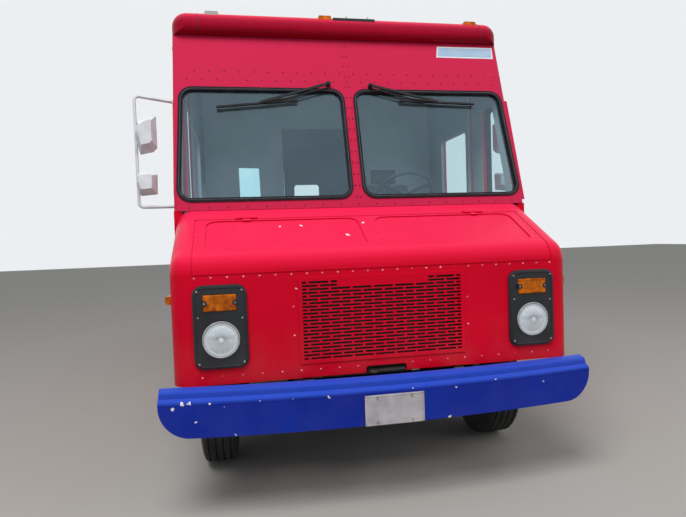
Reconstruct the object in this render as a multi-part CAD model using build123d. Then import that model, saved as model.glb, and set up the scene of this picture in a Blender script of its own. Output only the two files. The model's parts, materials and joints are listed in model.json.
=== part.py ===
"""Walk-in step van fitted out as a food truck, in millimetres.

+X is the driver's side, -Y the front and +Z up. The origin is on the ground, under the middle of the
truck's length and width. Heights are above the ground, and every length called a setback is measured
back from the flat front panel of the nose. Left is the driver's side and right the kerb side.
"""

from build123d import *
from math import atan2, cos, degrees, sin, tan
import os

# Overall sizes
LENGTH = 6100.0
HALF_WIDTH = 1085.0
ROOF_TOP = 2800.0
WHEELBASE = 3378.0
FRONT_BUMPER_REACH = 153.0
REAR_BUMPER_REACH = 140.0
AXLE_SETBACK = 760.0
WALL = 45.0
FLOOR_TOP = 830.0
FLOOR_DEPTH = 35.0
SKIRT_BOTTOM = 470.0
GAP = 6.0
THROUGH = 1.0

NOSE_Y = -LENGTH / 2 + FRONT_BUMPER_REACH
TAIL_Y = LENGTH / 2 - REAR_BUMPER_REACH
TAIL_SETBACK = TAIL_Y - NOSE_Y
FRONT_AXLE_Y = NOSE_Y + AXLE_SETBACK
REAR_AXLE_Y = FRONT_AXLE_Y + WHEELBASE
REAR_AXLE_SETBACK = AXLE_SETBACK + WHEELBASE
FLOOR_UNDER = FLOOR_TOP - FLOOR_DEPTH
INSIDE = HALF_WIDTH - WALL

# Nose
NOSE_STEP_IN = 11.0
NOSE_BOTTOM = 650.0
NOSE_ROLL_TOP = 1271.0
NOSE_ROLL_R = 120.0
COWL_SETBACK = 500.0
COWL_TOP = 1538.0
NOSE_CORNER_R = 95.0
NOSE_SKIN = 30.0
FENDER_WIDTH = 119.0
HOOD_SEAM_Z = 1196.0
HOOD_REAR_SETBACK = 388.0
HOOD_PANEL_INNER = 50.0
HOOD_PANEL_MARGIN = 55.0
HOOD_PANEL_FRONT = 68.0
HOOD_PANEL_DEPTH = 7.0
HOOD_PANEL_R = 60.0
HINGE_R = 8.0
HINGE_PROUD = 4.0
HINGE_RUN = (620.0, 660.0, 700.0, 740.0)
HINGE_SPLIT = 0.3
FIREWALL = 22.0
FIREWALL_BOTTOM = 995.0
NOTCH = (-105.0, 115.0)
NOTCH_HEIGHT = 36.0
NOSE_HALF = HALF_WIDTH - NOSE_STEP_IN
HOOD_HALF = NOSE_HALF - FENDER_WIDTH
HOOD_PANEL_OUTER = HOOD_HALF - HOOD_PANEL_MARGIN
HOOD_SLOPE = atan2(COWL_TOP - NOSE_ROLL_TOP, COWL_SETBACK)

# Lamps and grille of the front panel
LAMP_INBOARD = 242.0
LAMP_Z = 877.0
LENS_R = 84.0
LENS_DOME = 15.0
LAMP_RING_R = 92.0
BOWL_R = 40.0
BOWL_DEPTH = 90.0
BEZEL_WIDTH = 264.0
BEZEL_BOTTOM = 731.0
BEZEL_TOP = 1146.0
BEZEL_R = 50.0
BEZEL_PROUD = 14.0
BEZEL_EDGE = 5.0
TURN_LAMP_Z = 1058.0
TURN_LAMP_SIZE = (164.0, 84.0)
TURN_LAMP_PROUD = 22.0
SIDE_MARKER = (65.0, 30.0, 42.0)
SIDE_MARKER_PLACE = (132.0, 1070.0)
ROOF_LAMP_SIZE = (96.0, 42.0, 30.0)
ROOF_LAMP_TAPER = 9.0
ROOF_LAMP_INBOARD = (247.0, 195.0)
ROOF_LAMP_MIDDLE = -117.0
GRILLE_HALF = 445.0
GRILLE_BOTTOM = 722.0
GRILLE_TOP = 1160.0
GRILLE_PLATE = 5.0
GRILLE_LAP = 16.0
GRILLE_ROWS = 23
GRILLE_BARE_ROWS = 2
GRILLE_BARE_HALF = 245.0
SLOT_LENGTH = 100.0
SLOT_HEIGHT = 11.5
SLOT_PITCH = 113.0
LAMP_HALF_SPACING = NOSE_HALF - LAMP_INBOARD

# Windscreen panel, which leans back from the cowl to the roof
SCREEN_SETBACK = 494.0
SCREEN_RAKE = 0.309
SCREEN_PANEL = 40.0
SCREEN_INNER = 28.0
SCREEN_MARGIN_TOP = 35.0
SCREEN_MARGIN_BOTTOM = 14.0
SCREEN_BOTTOM = 1588.0
SCREEN_TOP = 2306.0
SCREEN_CORNER_R = 85.0
BODY_CORNER_R = 30.0
SEAL_WIDTH = 24.0
SEAL_PROUD = 7.0
SEAL_GRIP = 4.0
GLASS = 6.0
GLASS_INSET = 10.0
MOULDING_PROUD = 10.0
MOULDING_Z = (1563.0, 2241.0)
MOULDING_BACK = (8.0, 34.0)

# Roof
ROOF_LIP_Z = 2600.0
ROOF_FRONT_LIP_Z = 2656.0
ROOF_OVERHANG = 34.0
ROOF_ROLL_R = 90.0
ROOF_UNDER_R = 45.0
ROOF_CORNER_R = 95.0
ROOF_SHELL = 40.0
GUTTER = (14.0, 18.0)
GUTTER_SETBACK = 960.0

# Doorways, windows and trim of the side walls, as setbacks and heights
QUARTER_FRONT = 640.0
QUARTER_REAR = 985.0
QUARTER_BOTTOM = 1610.0
QUARTER_TOP = 2235.0
QUARTER_R = 40.0
QUARTER_FRAME = 25.0
TRIM_PROUD = 10.0
DOORWAY_WIDTH = 630.0
DOORWAY_BOTTOM = 505.0
DOORWAY_TOP = 2390.0
PANEL_SEAM = 2.0
DOOR_LAP = 22.0
DOOR_THICK = 35.0
DOOR_STAND_OFF = 5.0
DOOR_FRONT_STILE = 40.0
DOOR_REAR_STILE = 130.0
DOOR_GLASS_BOTTOM = 1480.0
DOOR_GLASS_TOP = 2135.0
DOOR_GLASS_R = 45.0
HATCH_FRONT = 2650.0
HATCH_LENGTH = 1700.0
HATCH_BOTTOM = 1620.0
HATCH_TOP = 2420.0
HATCH_THICK = 40.0
ARCH_R = 420.0
ARCH_LIP = 28.0
RUB_RAILS = ((860.0, 900.0), (1240.0, 1275.0))
RUB_RAIL_PROUD = 14.0
DOORWAY_FRONT = AXLE_SETBACK + ARCH_R
DOORWAY_REAR = DOORWAY_FRONT + DOORWAY_WIDTH
DOOR_SLIDE = DOORWAY_WIDTH + 10.0
HATCH_REAR = HATCH_FRONT + HATCH_LENGTH

# Serving hatch hinge and struts, and the folding shelf
HATCH_HINGE_OUT = 12.0
HATCH_HINGE_UP = 5.0
HATCH_HINGE_R = 7.0
HATCH_HINGE_LEAF = 6.0
STRUT_INBOARD = 95.0
STRUT_INSET = 32.0
STRUT_FOOT_Z = 1700.0
STRUT_LENGTH = 475.0
STRUT_PIN_R = 6.0
STRUT_EYE_R = 12.0
STRUT_BARREL_R = 11.0
STRUT_ROD_R = 5.0
STRUT_RECESS = 28.0
SHELF_WIDTH = 300.0
SHELF_THICK = 25.0
SHELF_OFF = 8.0
SHELF_HINGE_DOWN = 22.0
SHELF_HINGE_R = 7.0
STRUT_X = -(HALF_WIDTH - STRUT_INBOARD)

# Rear doors, and lamps on the rear frame
REAR_DOORWAY_HALF = 700.0
REAR_DOORWAY_TOP = 2430.0
REAR_CORNER_R = 40.0
REAR_DOOR_THICK = 40.0
REAR_HINGE_SIDE = 5.0
REAR_HINGE_BACK = 30.0
REAR_HINGE_R = 9.0
REAR_HINGE_HEIGHTS = (1050.0, 1630.0, 2210.0)
REAR_WINDOW_MARGIN = 150.0
REAR_WINDOW_Z = (1650.0, 2200.0)
TAIL_LAMP_INBOARD = 125.0
TAIL_LAMP_HEIGHTS = (900.0, 1010.0)
TAIL_LAMP_R = 50.0

# Running gear
TYRE_R = 375.0
TYRE_WIDTH = 216.0
TYRE_SHOULDER = 24.0
TYRE_SIDEWALL_R = 318.0
TYRE_FLATS = 48
BEAD_R = 262.0
BEAD_STEP = 18.0
RIM_R = 206.0
RIM_WALL = 12.0
RIM_LIP = 8.0
HAND_HOLES = 6
HAND_HOLE_R = 17.0
FRONT_DRUM_R = 138.0
REAR_DRUM_R = 150.0
HUB_R = 48.0
BOLT_RING_R = 112.0
TRACK_INBOARD = 200.0
DUAL_INBOARD = 140.0
DUAL_SPACING = 245.0
KINGPIN_INBOARD = 150.0
KINGPIN_R = 16.0
SPINDLE_R = 28.0
RUNNING_FIT = 0.05
STEER_ARM = 150.0
STEER_ARM_IN = 70.0
RAIL_OUTER = 432.0
RAIL_FLANGE = 52.0
RAIL_WEB = 8.0
RAIL_TOP = 640.0
RAIL_BOTTOM = 490.0
RAIL_FRONT = -60.0
RAIL_TAIL_GAP = 20.0
CROSS_DEPTH = 70.0
CROSS_Z = (510.0, 610.0)
SPRING_WIDTH = 64.0
SPRING_REACH = 560.0
SPRING_LEAVES = 20.0
SPRING_PAD = 60.0
TRACK_HALF = HALF_WIDTH - TRACK_INBOARD
DUAL_OUTER = HALF_WIDTH - DUAL_INBOARD
DUAL_INNER = DUAL_OUTER - DUAL_SPACING
KINGPIN_X = TRACK_HALF - KINGPIN_INBOARD
SPRING_X = RAIL_OUTER - RAIL_FLANGE / 2
SPRING_PAD_HALF = SPRING_WIDTH / 2 + 8.0

# Front bumper, bowed forward in plan, and the holes for the number plate
BUMPER_HALF = 1140.0
BUMPER_BOW_R = 7030.0
BUMPER_DEPTH = 80.0
BUMPER_CREASE = 594.0
BUMPER_LIP_SLOPE = 0.7
BUMPER_BOTTOM = 425.0
BUMPER_TOP = 700.0
BUMPER_END_R = 150.0
BUMPER_WALL = 9.0
BRACKET_Z = (500.0, 585.0)
PLATE_Z = 500.0
PLATE_HOLES = (178.0, 121.0)
PLATE_HOLE_R = 3.5
REAR_BUMPER_HEIGHT = 130.0
REAR_BUMPER_WALL = 8.0

# Mirrors: a tube frame with two heads, set further forward on the kerb side than on the driver's
MIRROR_REACH = 205.0
MIRROR_HEAD_IN = 87.0
MIRROR_TUBE_R = 9.5
MIRROR_BEND_R = 28.0
MIRROR_DEPTH = 52.0
MIRROR_FOOT = (18.0, 9.0, 8.0)

# Cab and kitchen
STEP_INNER = 760.0
STEP_SHEET = 12.0
STEP_TREAD = 20.0
STEP_FRONT = 44.0
STEP_BOTTOM = SKIRT_BOTTOM + 10.0
COVER_HALF = 345.0
COVER_REAR = 1195.0
COVER_TOP = 1190.0
COVER_SHEET = 20.0
COVER_R = 40.0
ENGINE_HALF = 240.0
ENGINE_SPAN = (330.0, 1080.0)
ENGINE_Z = (470.0, 1120.0)
GEARBOX_HALF = 140.0
GEARBOX_REAR = 1740.0
GEARBOX_Z = (420.0, 750.0)
ENGINE_MOUNT = ((620.0, 720.0), (560.0, 620.0))
RADIATOR = (330.0, (90.0, 150.0), (660.0, 1130.0))
TANK_SPAN = (2640.0, 3420.0)
TANK_BOTTOM = 400.0
TANK_INBOARD = 205.0
TANK_R = 40.0
EXHAUST_X = -300.0
EXHAUST_Z = 478.0
EXHAUST_R = 28.0
SILENCER_R = 72.0
SILENCER_SPAN = (1990.0, 2610.0)
SHAFT_R = 38.0
JOINT_R = 44.0
DASH_INBOARD = 85.0
DASH_FRONT = 545.0
DASH_REAR = 740.0
DASH_TOP = 1590.0
BINNACLE_HALF = 150.0
BINNACLE_Z = (1470.0, 1620.0)
WHEEL_X = 430.0
WHEEL_SETBACK = 985.0
WHEEL_Z = 1640.0
COLUMN_FOOT_SETBACK = 700.0
COLUMN_FOOT_Z = 1330.0
COLUMN_R = 28.0
WHEEL_R = 205.0
WHEEL_GRIP_R = 13.0
SEAT_X = 460.0
SEAT_SETBACK = 1180.0
SEAT_Z = 1200.0
BULKHEAD_SETBACK = 1960.0
BULKHEAD_THICK = 30.0
BULKHEAD_DOOR_HALF = 330.0
BULKHEAD_DOOR_TOP = 2300.0
COUNTER_INNER = 520.0
COUNTER_Z = 1600.0
COUNTER_TOP_THICK = 40.0
COUNTER_SKIRT = 40.0
COOK_LINE_INNER = 500.0
COOK_LINE_TOP = 1700.0
COOK_LINE_LENGTH = 2300.0


def setback(distance):
    """The place along the truck of a distance behind the front panel."""
    return NOSE_Y + distance


def setbacks(span):
    """Two places along the truck, from two setbacks."""
    return (setback(span[0]), setback(span[1]))


def around(middle, half):
    """Two values either side of a middle one."""
    return (middle - half, middle + half)


def block(x, y, z):
    """A block between two values on each axis."""
    centre = Pos(sum(x) / 2, sum(y) / 2, sum(z) / 2)
    return centre * Box(abs(x[1] - x[0]), abs(y[1] - y[0]), abs(z[1] - z[0]))


def side_slab(points, x):
    """An outline of (y, z) points, drawn out between two values of x."""
    outline = make_face(Polyline(*points, close=True))
    return extrude(Plane.YZ.offset(x[0]) * outline, x[1] - x[0])


def front_slab(outline, y):
    """A face drawn in x and z, drawn out between two values of y."""
    return extrude(Plane.XZ.offset(-y[0]) * outline, -(y[1] - y[0]))


def rounded(x, z, radius):
    """A rounded rectangle in x and z."""
    return Pos(sum(x) / 2, sum(z) / 2) * RectangleRounded(x[1] - x[0], z[1] - z[0], radius)


def lying(axis, place, radius, length):
    """A round bar centred on a place, along X, Y or Z."""
    turn = {"X": Rot(0, 90, 0), "Y": Rot(90, 0, 0), "Z": Rot(0, 0, 0)}[axis]
    return Pos(*place) * turn * Cylinder(radius, length)


def along_x(x, y, z, radius):
    """A round bar along X between two values of x."""
    return lying("X", (sum(x) / 2, y, z), radius, abs(x[1] - x[0]))


def bar_between(start, end, radius):
    """A round bar from one point to another."""
    run = Vector(*end) - Vector(*start)
    return extrude(Plane(origin=start, z_dir=run) * Circle(radius), run.length)


def turned(section, place, outward):
    """A solid turned from a closed face of radius and reach, its reach pointing outward."""
    turn = {"back": 0, "right": 90, "front": 180, "left": -90}[outward]
    return Pos(*place) * Rot(0, 0, turn) * revolve(section, axis=Axis.Y)


def section_of(*points):
    """A closed face through (radius, reach) points."""
    return make_face(Polyline(*points, close=True))


def mirrored(shape):
    """The same shape on the other side of the truck."""
    return mirror(shape, about=Plane.YZ)


def both(shape):
    """A shape and its mirror image."""
    return [shape, mirrored(shape)]


def sided(side, x):
    """Two values of x on the left side, or their mirror image, in rising order."""
    return tuple(sorted((side * x[0], side * x[1])))


def save(name, solids):
    """Writes the solids of one piece, or of like pieces on one body."""
    solids = solids if isinstance(solids, list) else [solids]
    export_step(Compound(children=[s for shape in solids for s in shape.solids()]), f"parts/{name}.step")


def screen_y(z):
    """The outer face of the leaning windscreen panel at a height."""
    return setback(SCREEN_SETBACK) + SCREEN_RAKE * (z - COWL_TOP)


def hood_z(distance, inset=0.0):
    """The sloping top of the nose at a setback, or a surface inside it."""
    return NOSE_ROLL_TOP + tan(HOOD_SLOPE) * distance - inset / cos(HOOD_SLOPE)


def wheel_arch(axle_y):
    """The round cut that clears a wheel through both side walls."""
    return lying("X", (0, axle_y, TYRE_R), ARCH_R, 3 * HALF_WIDTH)


def arch_lip(axle_y, face_x, y, z):
    """The raised lip round a wheel arch, kept between two places along the truck and two heights."""
    ring = along_x((face_x - THROUGH, face_x + TRIM_PROUD), axle_y, TYRE_R, ARCH_R + ARCH_LIP)
    return ring & block((0, 2 * HALF_WIDTH), y, z)


os.makedirs("parts", exist_ok=True)


# Shell of the nose, from which the front panel, fenders, cowl and hood are parted
def nose_form(half, front, rear, bottom, inset):
    """The closed outer or inner form of the nose, with its corners rolled."""
    outline = [
        (setback(front), bottom),
        (setback(front), hood_z(front, inset)),
        (setback(rear), hood_z(rear, inset)),
        (setback(rear), bottom),
    ]
    form = side_slab(outline, (-half, half))
    roll = form.edges().filter_by(Axis.X).sort_by_distance((0, setback(front), hood_z(front, inset)))[0]
    form = fillet(roll, NOSE_ROLL_R - inset)
    outer = [e for e in form.edges() if abs(abs(e.center().X) - half) < 1 and e.center().Z > bottom + 1]
    return fillet([e for e in outer if e.center().Y < setback(rear) - 1], NOSE_CORNER_R - inset)


nose_outer = nose_form(NOSE_HALF, 0, COWL_SETBACK, NOSE_BOTTOM, 0)
nose_inner = nose_form(
    NOSE_HALF - NOSE_SKIN,
    NOSE_SKIN,
    COWL_SETBACK + THROUGH,
    NOSE_BOTTOM - THROUGH,
    NOSE_SKIN,
)
nose_shell = nose_outer - nose_inner - wheel_arch(FRONT_AXLE_Y)
skin_y = (setback(-THROUGH), setback(NOSE_SKIN + THROUGH))
seam_x = around(0, HOOD_HALF + GAP)
hood_zone = block(
    around(0, HOOD_HALF), setbacks((-THROUGH, HOOD_REAR_SETBACK)), (HOOD_SEAM_Z, COWL_TOP)
)
hood_room = block(
    seam_x, setbacks((-THROUGH, HOOD_REAR_SETBACK + GAP)), (HOOD_SEAM_Z - GAP, COWL_TOP + THROUGH)
)
panel_zone = block(seam_x, setbacks((-THROUGH, COWL_SETBACK / 2)), (NOSE_BOTTOM - THROUGH, HOOD_SEAM_Z))
cowl_zone = block(seam_x, setbacks((HOOD_REAR_SETBACK, COWL_SETBACK)), (HOOD_SEAM_Z, COWL_TOP))

# Hood hinges: two pairs of barrels along the seam between hood and cowl
hinge_setback = HOOD_REAR_SETBACK + GAP / 2
hinge_y = setback(hinge_setback)
hinge_z = hood_z(hinge_setback) + HINGE_PROUD
hinge_plane = Plane(
    origin=(0, hinge_y, hinge_z), x_dir=(1, 0, 0), z_dir=(0, -sin(HOOD_SLOPE), cos(HOOD_SLOPE))
)
hinge_leaf = (30.0, (-7.0, 1.0))


def hinge_part(x, uphill):
    """One knuckle of a hood hinge, with its leaf laid on the hood (-1) or on the cowl (1)."""
    centre = Pos(sum(x) / 2, uphill * hinge_leaf[0] / 2, sum(hinge_leaf[1]) / 2)
    leaf = hinge_plane * (centre * Box(x[1] - x[0], hinge_leaf[0], hinge_leaf[1][1] - hinge_leaf[1][0]))
    return leaf + along_x(x, hinge_y, hinge_z, HINGE_R)


hinge_room = along_x((HINGE_RUN[0] - 2, HINGE_RUN[3] + 2), hinge_y, hinge_z, HINGE_R + 2)

# Hood: a hinged lid with two shallow sunken panels either side of a middle ridge
hood = nose_shell & hood_zone
panel_plane = Plane(
    origin=(0, setback(HOOD_PANEL_FRONT), hood_z(HOOD_PANEL_FRONT)),
    x_dir=(1, 0, 0),
    z_dir=(0, -sin(HOOD_SLOPE), cos(HOOD_SLOPE)),
)
panel_run = (HOOD_REAR_SETBACK - HOOD_PANEL_FRONT) / cos(HOOD_SLOPE) - 16
sunken = Pos((HOOD_PANEL_INNER + HOOD_PANEL_OUTER) / 2, panel_run / 2) * RectangleRounded(
    HOOD_PANEL_OUTER - HOOD_PANEL_INNER, panel_run, HOOD_PANEL_R
)
for pocket in both(extrude(panel_plane * sunken, -HOOD_PANEL_DEPTH)) + both(hinge_room):
    hood -= pocket
for knuckle in both(hinge_part((HINGE_RUN[1], HINGE_RUN[2]), -1)):
    hood += knuckle
save("hood", hood)

# Front panel with the grille's opening, the lamp holes and the notch over the towing eye
front_panel = (nose_shell & panel_zone) - hood_room
opening_x = around(0, GRILLE_HALF - GRILLE_LAP)
opening_z = (GRILLE_BOTTOM + GRILLE_LAP, GRILLE_TOP - GRILLE_LAP)
front_panel -= front_slab(rounded(opening_x, opening_z, 8), skin_y)
turn_x = around(LAMP_HALF_SPACING, TURN_LAMP_SIZE[0] / 2)
turn_z = around(TURN_LAMP_Z, TURN_LAMP_SIZE[1] / 2)
lamp_hole = lying(
    "Y", (LAMP_HALF_SPACING, setback(NOSE_SKIN / 2), LAMP_Z), LAMP_RING_R + 3, NOSE_SKIN + 2 * THROUGH
)
for hole in both(lamp_hole):
    front_panel -= hole
front_panel -= front_slab(rounded(NOTCH, around(NOSE_BOTTOM, NOTCH_HEIGHT), 14), skin_y)
save("front_panel", front_panel)

# Fenders: the sides of the nose, each with its cast top corner and the front half of the arch's lip
lip = arch_lip(FRONT_AXLE_Y, NOSE_HALF, setbacks((0, COWL_SETBACK)), (NOSE_BOTTOM, COWL_TOP))
fenders = nose_shell + both(lip - wheel_arch(FRONT_AXLE_Y))
save("fenders", fenders - panel_zone - hood_room - cowl_zone)

# Cowl, with the firewall between the nose and the cab
firewall = block(
    around(0, NOSE_HALF - NOSE_SKIN),
    setbacks((COWL_SETBACK - FIREWALL, COWL_SETBACK)),
    (FIREWALL_BOTTOM, COWL_TOP),
)
firewall -= block(
    around(0, COVER_HALF),
    setbacks((COWL_SETBACK - FIREWALL - THROUGH, COWL_SETBACK + THROUGH)),
    (0, COVER_TOP),
)
cowl = (nose_shell & cowl_zone) - hood_room + (firewall & nose_inner)
for room in both(hinge_room):
    cowl -= room
for x in ((HINGE_RUN[0], HINGE_RUN[1] - HINGE_SPLIT), (HINGE_RUN[2] + HINGE_SPLIT, HINGE_RUN[3])):
    for knuckle in both(hinge_part(x, 1)):
        cowl += knuckle
save("cowl", cowl)

# Grille: a flat plate with staggered rows of slots, its top rows bare in the middle, lapped over the opening
grille = front_slab(
    rounded(around(0, GRILLE_HALF), (GRILLE_BOTTOM, GRILLE_TOP), 6), (setback(-GRILLE_PLATE), NOSE_Y)
)
row_pitch = (GRILLE_TOP - GRILLE_BOTTOM - 2 * GRILLE_LAP) / GRILLE_ROWS
slot_limit = GRILLE_HALF - GRILLE_LAP - 4
slot_y = setbacks((-GRILLE_PLATE - THROUGH, THROUGH))
columns = int(GRILLE_HALF / SLOT_PITCH) + 1
slots = []
for row in range(GRILLE_ROWS):
    z = GRILLE_BOTTOM + GRILLE_LAP + row_pitch * (row + 0.5)
    shift = SLOT_PITCH / 2 if row % 2 else 0.0
    for column in range(-columns, columns + 1):
        middle = column * SLOT_PITCH + shift
        left = max(middle - SLOT_LENGTH / 2, -slot_limit)
        right = min(middle + SLOT_LENGTH / 2, slot_limit)
        if row >= GRILLE_ROWS - GRILLE_BARE_ROWS:
            left = max(left, GRILLE_BARE_HALF) if middle > 0 else left
            right = min(right, -GRILLE_BARE_HALF) if middle <= 0 else right
        if right - left > SLOT_HEIGHT:
            slots.append(block((left, right), slot_y, around(z, SLOT_HEIGHT / 2)))
save("grille", grille - slots)

# Lamp surrounds: raised plates with round headlamp and oblong turn lamp openings
bezel_y = (setback(-BEZEL_PROUD), NOSE_Y)
bezel = front_slab(
    rounded(around(LAMP_HALF_SPACING, BEZEL_WIDTH / 2), (BEZEL_BOTTOM, BEZEL_TOP), BEZEL_R), bezel_y
)
bezel = chamfer(bezel.faces().sort_by(Axis.Y)[0].edges(), BEZEL_EDGE)
bezel -= lying("Y", (LAMP_HALF_SPACING, sum(bezel_y) / 2, LAMP_Z), LAMP_RING_R + 1, BEZEL_PROUD + 2)
bezel -= front_slab(rounded(turn_x, turn_z, 8), setbacks((-BEZEL_PROUD - THROUGH, THROUGH)))
save("lamp_surrounds", both(bezel))

# Sealed beam headlamps: a domed lens in a ring, over a bowl that passes through the front panel
bowl = section_of(
    (0, -BOWL_DEPTH),
    (BOWL_R, -BOWL_DEPTH),
    (LENS_R, -26),
    (LAMP_RING_R, -12),
    (LAMP_RING_R, 4),
    (LENS_R, 6),
    (0, 0),
)
dome = make_face(
    [
        ThreePointArc((0, LENS_DOME), (LENS_R / 2, LENS_DOME * 0.75), (LENS_R, 0)),
        Line((LENS_R, 0), (LENS_R, -4)),
        Line((LENS_R, -4), (0, -4)),
        Line((0, -4), (0, LENS_DOME)),
    ]
)
lamp_place = (LAMP_HALF_SPACING, setback(-BEZEL_PROUD), LAMP_Z)
save("headlamps", both(turned(bowl, lamp_place, "front") + turned(dome, lamp_place, "front")))

# Amber lamps: front turn lamps, side markers and three roof lamps, of which the middle two places are bare
turn_view = rounded((turn_x[0] + 2, turn_x[1] - 2), (turn_z[0] + 2, turn_z[1] - 2), 6)
turn_lamp = front_slab(turn_view, (setback(-TURN_LAMP_PROUD), NOSE_Y))
turn_lamp = chamfer(turn_lamp.faces().sort_by(Axis.Y)[0].edges(), 4)
side_marker = block(
    (NOSE_HALF, NOSE_HALF + SIDE_MARKER[1]),
    around(setback(SIDE_MARKER_PLACE[0]), SIDE_MARKER[0] / 2),
    around(SIDE_MARKER_PLACE[1], SIDE_MARKER[2] / 2),
)
side_marker = chamfer(side_marker.faces().sort_by(Axis.X)[-1].edges(), 7)
ambers = both(turn_lamp) + both(side_marker)

# Roof: one shell with a rolled edge all round, rolled under along its front too, and a gutter at each side
roof_front = screen_y(ROOF_LIP_Z) - ROOF_OVERHANG
panel_back = SCREEN_PANEL / cos(atan2(SCREEN_RAKE, 1.0))
roof_inside = screen_y(ROOF_LIP_Z) + panel_back


def rolled(x, y, z, radius, corner):
    """A block with its upright corners rounded and its upper edges rolled over."""
    form = block(x, y, z)
    form = fillet(form.edges().filter_by(Axis.Z), corner)
    return fillet(form.faces().sort_by(Axis.Z)[-1].edges(), radius)


roof_x = around(0, HALF_WIDTH)
roof_outer = rolled(roof_x, (roof_front, TAIL_Y), (ROOF_LIP_Z, ROOF_TOP), ROOF_ROLL_R, ROOF_CORNER_R)
roof = roof_outer - rolled(
    around(0, INSIDE),
    (roof_inside, TAIL_Y - WALL),
    (ROOF_LIP_Z - THROUGH, ROOF_TOP - ROOF_SHELL),
    ROOF_ROLL_R - ROOF_SHELL,
    ROOF_CORNER_R - ROOF_SHELL,
)
panel_room = [
    (roof_front - THROUGH, ROOF_LIP_Z - THROUGH),
    (roof_inside - SCREEN_RAKE * THROUGH, ROOF_LIP_Z - THROUGH),
    (screen_y(ROOF_FRONT_LIP_Z) + panel_back, ROOF_FRONT_LIP_Z),
    (roof_front - THROUGH, ROOF_FRONT_LIP_Z),
]
roof -= side_slab(panel_room, around(0, HALF_WIDTH + THROUGH))
under_y = (roof_front - THROUGH, roof_front + ROOF_UNDER_R)
under_z = (ROOF_FRONT_LIP_Z - THROUGH, ROOF_FRONT_LIP_Z + ROOF_UNDER_R)
roof -= block(roof_x, under_y, under_z) - along_x(roof_x, under_y[1], under_z[1], ROOF_UNDER_R)
gutter_y = (setback(GUTTER_SETBACK), TAIL_Y - ROOF_CORNER_R)
for side in (1, -1):
    gutter_x = sided(side, (HALF_WIDTH - THROUGH, HALF_WIDTH + GUTTER[0]))
    roof += block(gutter_x, gutter_y, (ROOF_LIP_Z, ROOF_LIP_Z + GUTTER[1]))
save("roof", roof)

# Roof lamps: tapered blocks seated on the roll of the roof's front edge
lamp_half, lamp_depth, lamp_height = ROOF_LAMP_SIZE[0] / 2, ROOF_LAMP_SIZE[1], ROOF_LAMP_SIZE[2]
lamp_outline = [
    (-lamp_half, 0),
    (-lamp_half + ROOF_LAMP_TAPER, lamp_height),
    (lamp_half - ROOF_LAMP_TAPER, lamp_height),
    (lamp_half, 0),
]
roof_lamp = front_slab(make_face(Polyline(*lamp_outline, close=True)), (0, lamp_depth))
lamp_seat = (roof_front + ROOF_ROLL_R * 0.38, ROOF_TOP - lamp_height + 4)
for x in (-HALF_WIDTH + ROOF_LAMP_INBOARD[0], ROOF_LAMP_MIDDLE, HALF_WIDTH - ROOF_LAMP_INBOARD[1]):
    ambers.append(Pos(x, *lamp_seat) * roof_lamp - roof_outer)
save("amber_lamps", ambers)


# Front bumper: a deep pressed channel, bowed forward, with rounded ends and its lip leaning back all along
bow_centre = setback(-FRONT_BUMPER_REACH) + BUMPER_BOW_R


def bumper_form(inset):
    """The bumper's outer form, or the hollow behind its wall: one section turned about the bow's centre."""
    view_z = (BUMPER_BOTTOM + inset, BUMPER_TOP + BUMPER_END_R)
    view = rounded(around(0, BUMPER_HALF - inset), view_z, BUMPER_END_R - inset)
    face_r = BUMPER_BOW_R - inset
    crease = BUMPER_CREASE + BUMPER_LIP_SLOPE * inset - inset / cos(atan2(BUMPER_LIP_SLOPE, 1.0))
    lip_run = 2 * FRONT_BUMPER_REACH
    lip_top = crease + BUMPER_LIP_SLOPE * lip_run
    section = section_of((0, 0), (face_r, 0), (face_r, crease), (face_r - lip_run, lip_top), (0, lip_top))
    turned_section = Pos(0, bow_centre, 0) * revolve(Plane.XZ * section, axis=Axis.Z)
    return front_slab(view, setbacks((-2 * FRONT_BUMPER_REACH, FRONT_BUMPER_REACH))) & turned_section


bumper = bumper_form(0) - Pos(0, bow_centre, 0) * Cylinder(BUMPER_BOW_R - BUMPER_DEPTH, 2 * ROOF_TOP)
bumper -= bumper_form(BUMPER_WALL)
for side in (1, -1):
    bracket_x = sided(side, (RAIL_OUTER - RAIL_FLANGE, RAIL_OUTER))
    bracket = block(bracket_x, setbacks((-FRONT_BUMPER_REACH, RAIL_FRONT)), BRACKET_Z)
    bumper += bracket & bumper_form(BUMPER_WALL - 1)
for x in around(0, PLATE_HOLES[0] / 2):
    for z in around(PLATE_Z, PLATE_HOLES[1] / 2):
        bumper -= lying("Y", (x, setback(-FRONT_BUMPER_REACH), z), PLATE_HOLE_R, 4 * BUMPER_WALL)
save("front_bumper", bumper)

# Chassis frame: two channel rails joined by cross members
rail_inner = RAIL_OUTER - RAIL_FLANGE
rail_points = [
    (rail_inner, RAIL_BOTTOM),
    (RAIL_OUTER, RAIL_BOTTOM),
    (RAIL_OUTER, RAIL_TOP),
    (rail_inner, RAIL_TOP),
    (rail_inner, RAIL_TOP - RAIL_WEB),
    (RAIL_OUTER - RAIL_WEB, RAIL_TOP - RAIL_WEB),
    (RAIL_OUTER - RAIL_WEB, RAIL_BOTTOM + RAIL_WEB),
    (rail_inner, RAIL_BOTTOM + RAIL_WEB),
]
rail_end = TAIL_Y - RAIL_TAIL_GAP
rail = front_slab(make_face(Polyline(*rail_points, close=True)), (setback(RAIL_FRONT), rail_end))
frame = rail + mirrored(rail)
cross_setbacks = (
    CROSS_DEPTH - 10,
    DOORWAY_REAR,
    TANK_SPAN[0] + 10,
    REAR_AXLE_SETBACK - SPRING_REACH - 128,
    REAR_AXLE_SETBACK + SPRING_REACH + 102,
    TAIL_SETBACK - 3 * CROSS_DEPTH,
)
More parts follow.
